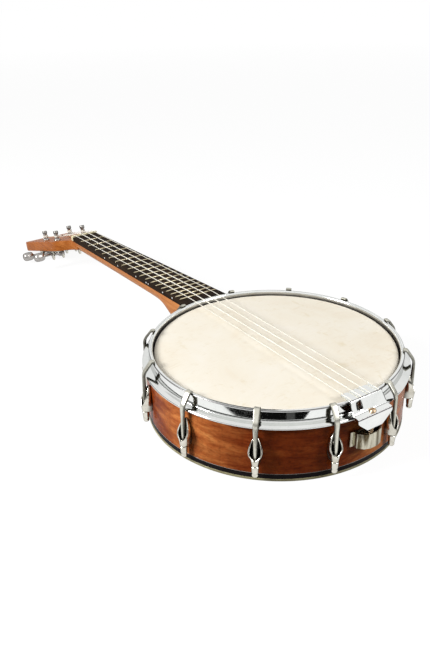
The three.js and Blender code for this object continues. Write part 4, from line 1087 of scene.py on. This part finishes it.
def tuner_plate(side_name, side):
    """One side's plate under the headstock, with the ears that hold the worms, a bushing at each post and screws."""
    top = -HEADSTOCK_THICKNESS - 0.05
    low = top - PLATE_THICKNESS
    x0, x1 = 37.6, TUNERS[0][1] + WORM_OFFSET + 4.5
    y0, y1 = TUNERS[0][2] - EAR_PLACE, TUNERS[1][2] + EAR_PLACE
    corner, rounding = 2.2, 4
    outline = [(x0 + corner, y0), (x1 - corner, y0), (x1, y0 + corner), (x1, y1 - corner), (x1 - corner, y1),
               (x0 + corner, y1), (x0, y1 - corner), (x0, y0 + corner)]
    shapes = [prism(outline, low, top, 0.2)]
    bushing = [(3.3, low - 0.1), (4, low - 0.1), (4, 0.35), (3.3, 0.35)]
    arch = [i / 16 * pi for i in range(17)]
    ear = [(rounding * cos(a), EAR_DROP - rounding + rounding * sin(a)) for a in arch]
    ear = [(rounding, -(TUNE_DROP + low))] + ear + [(-rounding, -(TUNE_DROP + low))]
    for _, along, out in TUNERS:
        for y in (out - EAR_PLACE, out + EAR_PLACE - EAR_THICKNESS):
            flat = prism(ear, 0, EAR_THICKNESS, 0.2)
            shapes.append(moved(flat, shift(along + WORM_OFFSET, y, -TUNE_DROP) @ turn("X")))
        shapes.append(moved(turned(bushing, 32), shift(along, out, 0)))
    plate = moved(together(*shapes), Matrix.Scale(side, 4, (0, 1, 0)))
    bmesh.ops.recalc_face_normals(plate, faces=plate.faces)
    piece("tuner_plate_%s_metal" % side_name, plate, HEADSTOCK, NICKEL, "nickel", "tuner_plate_%s" % side_name)
    dome = drawn("screw_copy", turned([(0, -0.9), (1.0, -0.8), (1.7, -0.4), (1.8, 0), (0, 0)], 20))
    screws = [(x, y * side, low) for x, y in ((x0 + 2.4, y1 - 2.3), (63.5, (y0 + y1) / 2), (78, (y0 + y1) / 2))]
    heads = grown("tuner_plate_%s_screws" % side_name, PLACES, screws, Copy=dome, Finish=NICKEL, space=HEADSTOCK)
    fitted(heads, "nickel")


# Strings


def string_route(i):
    """The string's middle line in the pot's space: crease, hoop, last fret, nut, and turns round its post."""
    diameter = STRINGS[i][1]
    r = diameter / 2
    tail_lane, nut_lane = string_lanes(TAIL_SPACING)[i], string_lanes(NUT_SPACING)[i]
    side = 1 if nut_lane > 0 else -1
    _, along, out = TUNERS[1 if i in (0, 3) else 0]
    # heights of the string's middle: over the head at the tailpiece, over the board at the nut and at the last fret
    at_tail, at_nut, at_fret = HOOP_RISE + 1.65 + r, 1.5 + r, 1.2 + r
    tail = Vector((-102.6, tail_lane, at_tail))
    front = NECK_IN_POT @ Vector((NECK_LENGTH, nut_lane, at_nut))
    back = NECK_IN_POT @ Vector((NECK_LENGTH + 5.2, nut_lane, at_nut - 0.25))

    def lane(x):
        return tail_lane + (nut_lane - tail_lane) * (x - tail.x) / (front.x - tail.x)

    thickest = max(STRINGS, key=lambda string: string[1])[1] / 2
    hoop = Vector((HOOP_OUTSIDE, lane(HOOP_OUTSIDE), HOOP_RISE + GAP + thickest))
    fret = NECK_IN_POT @ Vector((fret_place(FRETS), 0, at_fret))
    fret.y = lane(fret.x)
    in_headstock = HEADSTOCK_IN_NECK.inverted() @ NECK_IN_POT.inverted() @ back
    around = POST_RADIUS + 0.12 + r
    dx, dy = along - in_headstock.x, side * out - in_headstock.y
    arrival = atan2(dy, dx) - side * asin(around / hypot(dx, dy))
    turns, steps = 2.5, 20
    pitch = diameter + 0.2
    post_foot, post_height = 2.1, 6.05
    lowest = post_foot + (post_height - pitch * turns) / 2
    to_pot = NECK_IN_POT @ HEADSTOCK_IN_NECK
    wound = []
    for n in range(int(turns * steps) + 1):
        a = arrival - side * pi / 2 + side * n / steps * tau
        on_post = (along + around * cos(a), side * out + around * sin(a), lowest + pitch * n / steps)
        wound.append(to_pot @ Vector(on_post))
    down = [Vector((tail.x - 0.75, tail.y, tail.z - 1.0 - r)), Vector((tail.x - 0.35, tail.y, tail.z - 0.25))]
    return down + [tail, hoop, fret, front, back] + wound


def nylon_strings():
    for i, (name, diameter) in enumerate(STRINGS):
        route = string_route(i)
        edges = [(n, n + 1) for n in range(len(route) - 1)]
        made = grown(name + "_nylon", LINE, route, edges, Radius=diameter / 2, Sides=12, Finish=NYLON, space=POT,
                     sharp=60)
        fitted(made, "nylon", name)


# The instrument

rim()
head()
tension_hoop()
fasteners()
tailpiece()
bracket()
hanger_screw()
neck()
fingerboard()
string_nut()
dowel_stick()
for side_name, side in SIDES:
    tuner_plate(side_name, side)
    for place, along, out in TUNERS:
        tuner_post(side_name, side, place, along, out)
        tuner_button(side_name, side, place, along, out)
nylon_strings()


# Floor, light and camera


def seen_directly(tree):
    """1 where the camera looks, also in the metal or through something clear, and 0 where light falls."""
    path = node(tree, "ShaderNodeLightPath").outputs
    seen = math_of(tree, "MAXIMUM", path["Is Camera Ray"], path["Is Glossy Ray"])
    return math_of(tree, "MAXIMUM", seen, path["Is Transmission Ray"])


def seen_white(name, shade):
    """Pale ground that the camera and the metal see as white, and that still takes the object's shadow.

    Far away, where the lamps no longer reach it, it glows a little more, so that no horizon shows.
    """
    far_shade, far = 0.975, 3.0
    material = bpy.data.materials.new(name)
    material.use_nodes = True
    tree = material.node_tree
    tree.nodes.clear()
    place = node(tree, "ShaderNodeTexCoord").outputs["Object"]
    away = node(tree, "ShaderNodeVectorMath", {0: place}, operation="LENGTH").outputs["Value"]
    away = math_of(tree, "MINIMUM", math_of(tree, "MULTIPLY", away, away), far * far)
    level = math_of(tree, "MULTIPLY_ADD", away, (far_shade - shade) / (far * far), shade)
    strength = math_of(tree, "MULTIPLY", seen_directly(tree), level)
    glow = node(tree, "ShaderNodeEmission", {"Color": (1, 1, 1, 1), "Strength": strength})
    matte = node(tree, "ShaderNodeBsdfDiffuse", {"Color": (0.13, 0.13, 0.13, 1)})
    both = node(tree, "ShaderNodeAddShader", {0: glow, 1: matte})
    node(tree, "ShaderNodeOutputMaterial", {"Surface": both})
    return material


def flat_sheet(name, corners, material):
    mesh = bpy.data.meshes.new(name)
    mesh.from_pydata(corners, [], [(0, 1, 2, 3)])
    mesh.materials.append(material)
    obj = on_stage(name, mesh)
    return obj


def floor():
    """The ground under the rim's tail edge and the headstock, which the instrument leans on."""
    lowest = min(frame["nodes"], key=lambda name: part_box(name)[0].z)
    low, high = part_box(lowest)
    slope = (rim_low.z - low.z) / (rim_low.x - (low.x + high.x) / 2)
    size = 6.0
    square = ((-size, -size), (size, -size), (size, size), (-size, size))
    corners = [(x, y, rim_low.z + (x - rim_low.x) * slope) for x, y in square]
    flat_sheet("pale_floor", corners, seen_white("pale_floor", 0.92))


def round_the_pot(radius, degrees, height):
    angle = radians(degrees)
    return POT @ Vector((radius * cos(angle), radius * sin(angle), height))


def dark_cards():
    """Black cards on the ground before the pot and dark walls of the room, seen only in metal and lacquer."""
    black, grey = (Finish(name, Base_Color=(shade, shade, shade, 1), Roughness=1.0, Specular_IOR_Level=0.0).material
                   for name, shade in (("black_card", 0.004), ("grey_card", 0.06)))
    card_height, wall_distance, wall_width = -50, 1500, 12
    # each card's corners as distance from the pot's middle and degrees round it
    cards = (
        ("card_left", black, ((163, 130), (163, 149), (214, 149), (190, 105))),
        ("card_middle", grey, ((163, 149), (163, 154), (214, 154), (214, 149))),
        ("card_right", black, ((163, 154), (163, 156), (190, 166), (214, 154))),
    )
    sheets = []
    for name, finish, corners in cards:
        sheets.append(flat_sheet(name, [round_the_pot(r, a, card_height) for r, a in corners], finish))
    walls = [(-39.5, -29.5, 700, 2600)] + [(a, a + wall_width, -120, 330) for a in range(24, 252, wall_width)]
    for start, end, low, high in walls:
        ends = ((start, low), (end, low), (end, high), (start, high))
        corners = [round_the_pot(wall_distance, a, z) for a, z in ends]
        sheets.append(flat_sheet("dark_wall_at_%d" % start, corners, grey))
    for sheet in sheets:
        sheet.visible_camera = sheet.visible_diffuse = sheet.visible_shadow = sheet.visible_transmission = False


def lamp(name, place, watts):
    """A soft round lamp half a metre wide, which points at the pot."""
    light = bpy.data.lights.new(name, "AREA")
    light.shape = "DISK"
    light.size = 0.5
    light.energy = watts
    obj = on_stage(name, light)
    start, end = POT @ Vector(place), POT @ Vector((0, 0, -20))
    obj.location = start
    obj.rotation_euler = (end - start).to_track_quat("-Z", "Y").to_euler()


def world():
    """An even room, as white as paper to the eye and five times darker as light."""
    sky = bpy.data.worlds.new("studio")
    bpy.context.scene.world = sky
    sky.use_nodes = True
    tree = sky.node_tree
    inputs = tree.nodes["Background"].inputs
    wired(tree, inputs["Color"], (1, 1, 1, 1))
    wired(tree, inputs["Strength"], math_of(tree, "MULTIPLY_ADD", seen_directly(tree), 0.8, 0.2))


def camera():
    """At the place, turn and lens that the photograph was taken from."""
    place = POT @ Vector((-421.4, 337.2, 290.5))
    yaw, pitch, roll = -0.585, 0.464, -0.017
    focal, picture_height, sensor = 753.04, 645, 36
    data = bpy.data.cameras.new("photo_camera")
    data.sensor_width = sensor
    data.lens = focal / picture_height * sensor
    data.clip_start = 0.01
    obj = on_stage("photo_camera", data)
    obj.matrix_world = shift(*place) @ turn("Z", yaw - pi / 2) @ turn("X", pi / 2 - pitch) @ turn("Z", roll)
    bpy.context.scene.camera = obj


floor()
dark_cards()
world()
lamp("left_softbox", (302, 1129, 655), 20.5)
lamp("right_softbox", (-900, -560, 750), 8)
camera()
bpy.context.scene.view_settings.view_transform = "Standard"
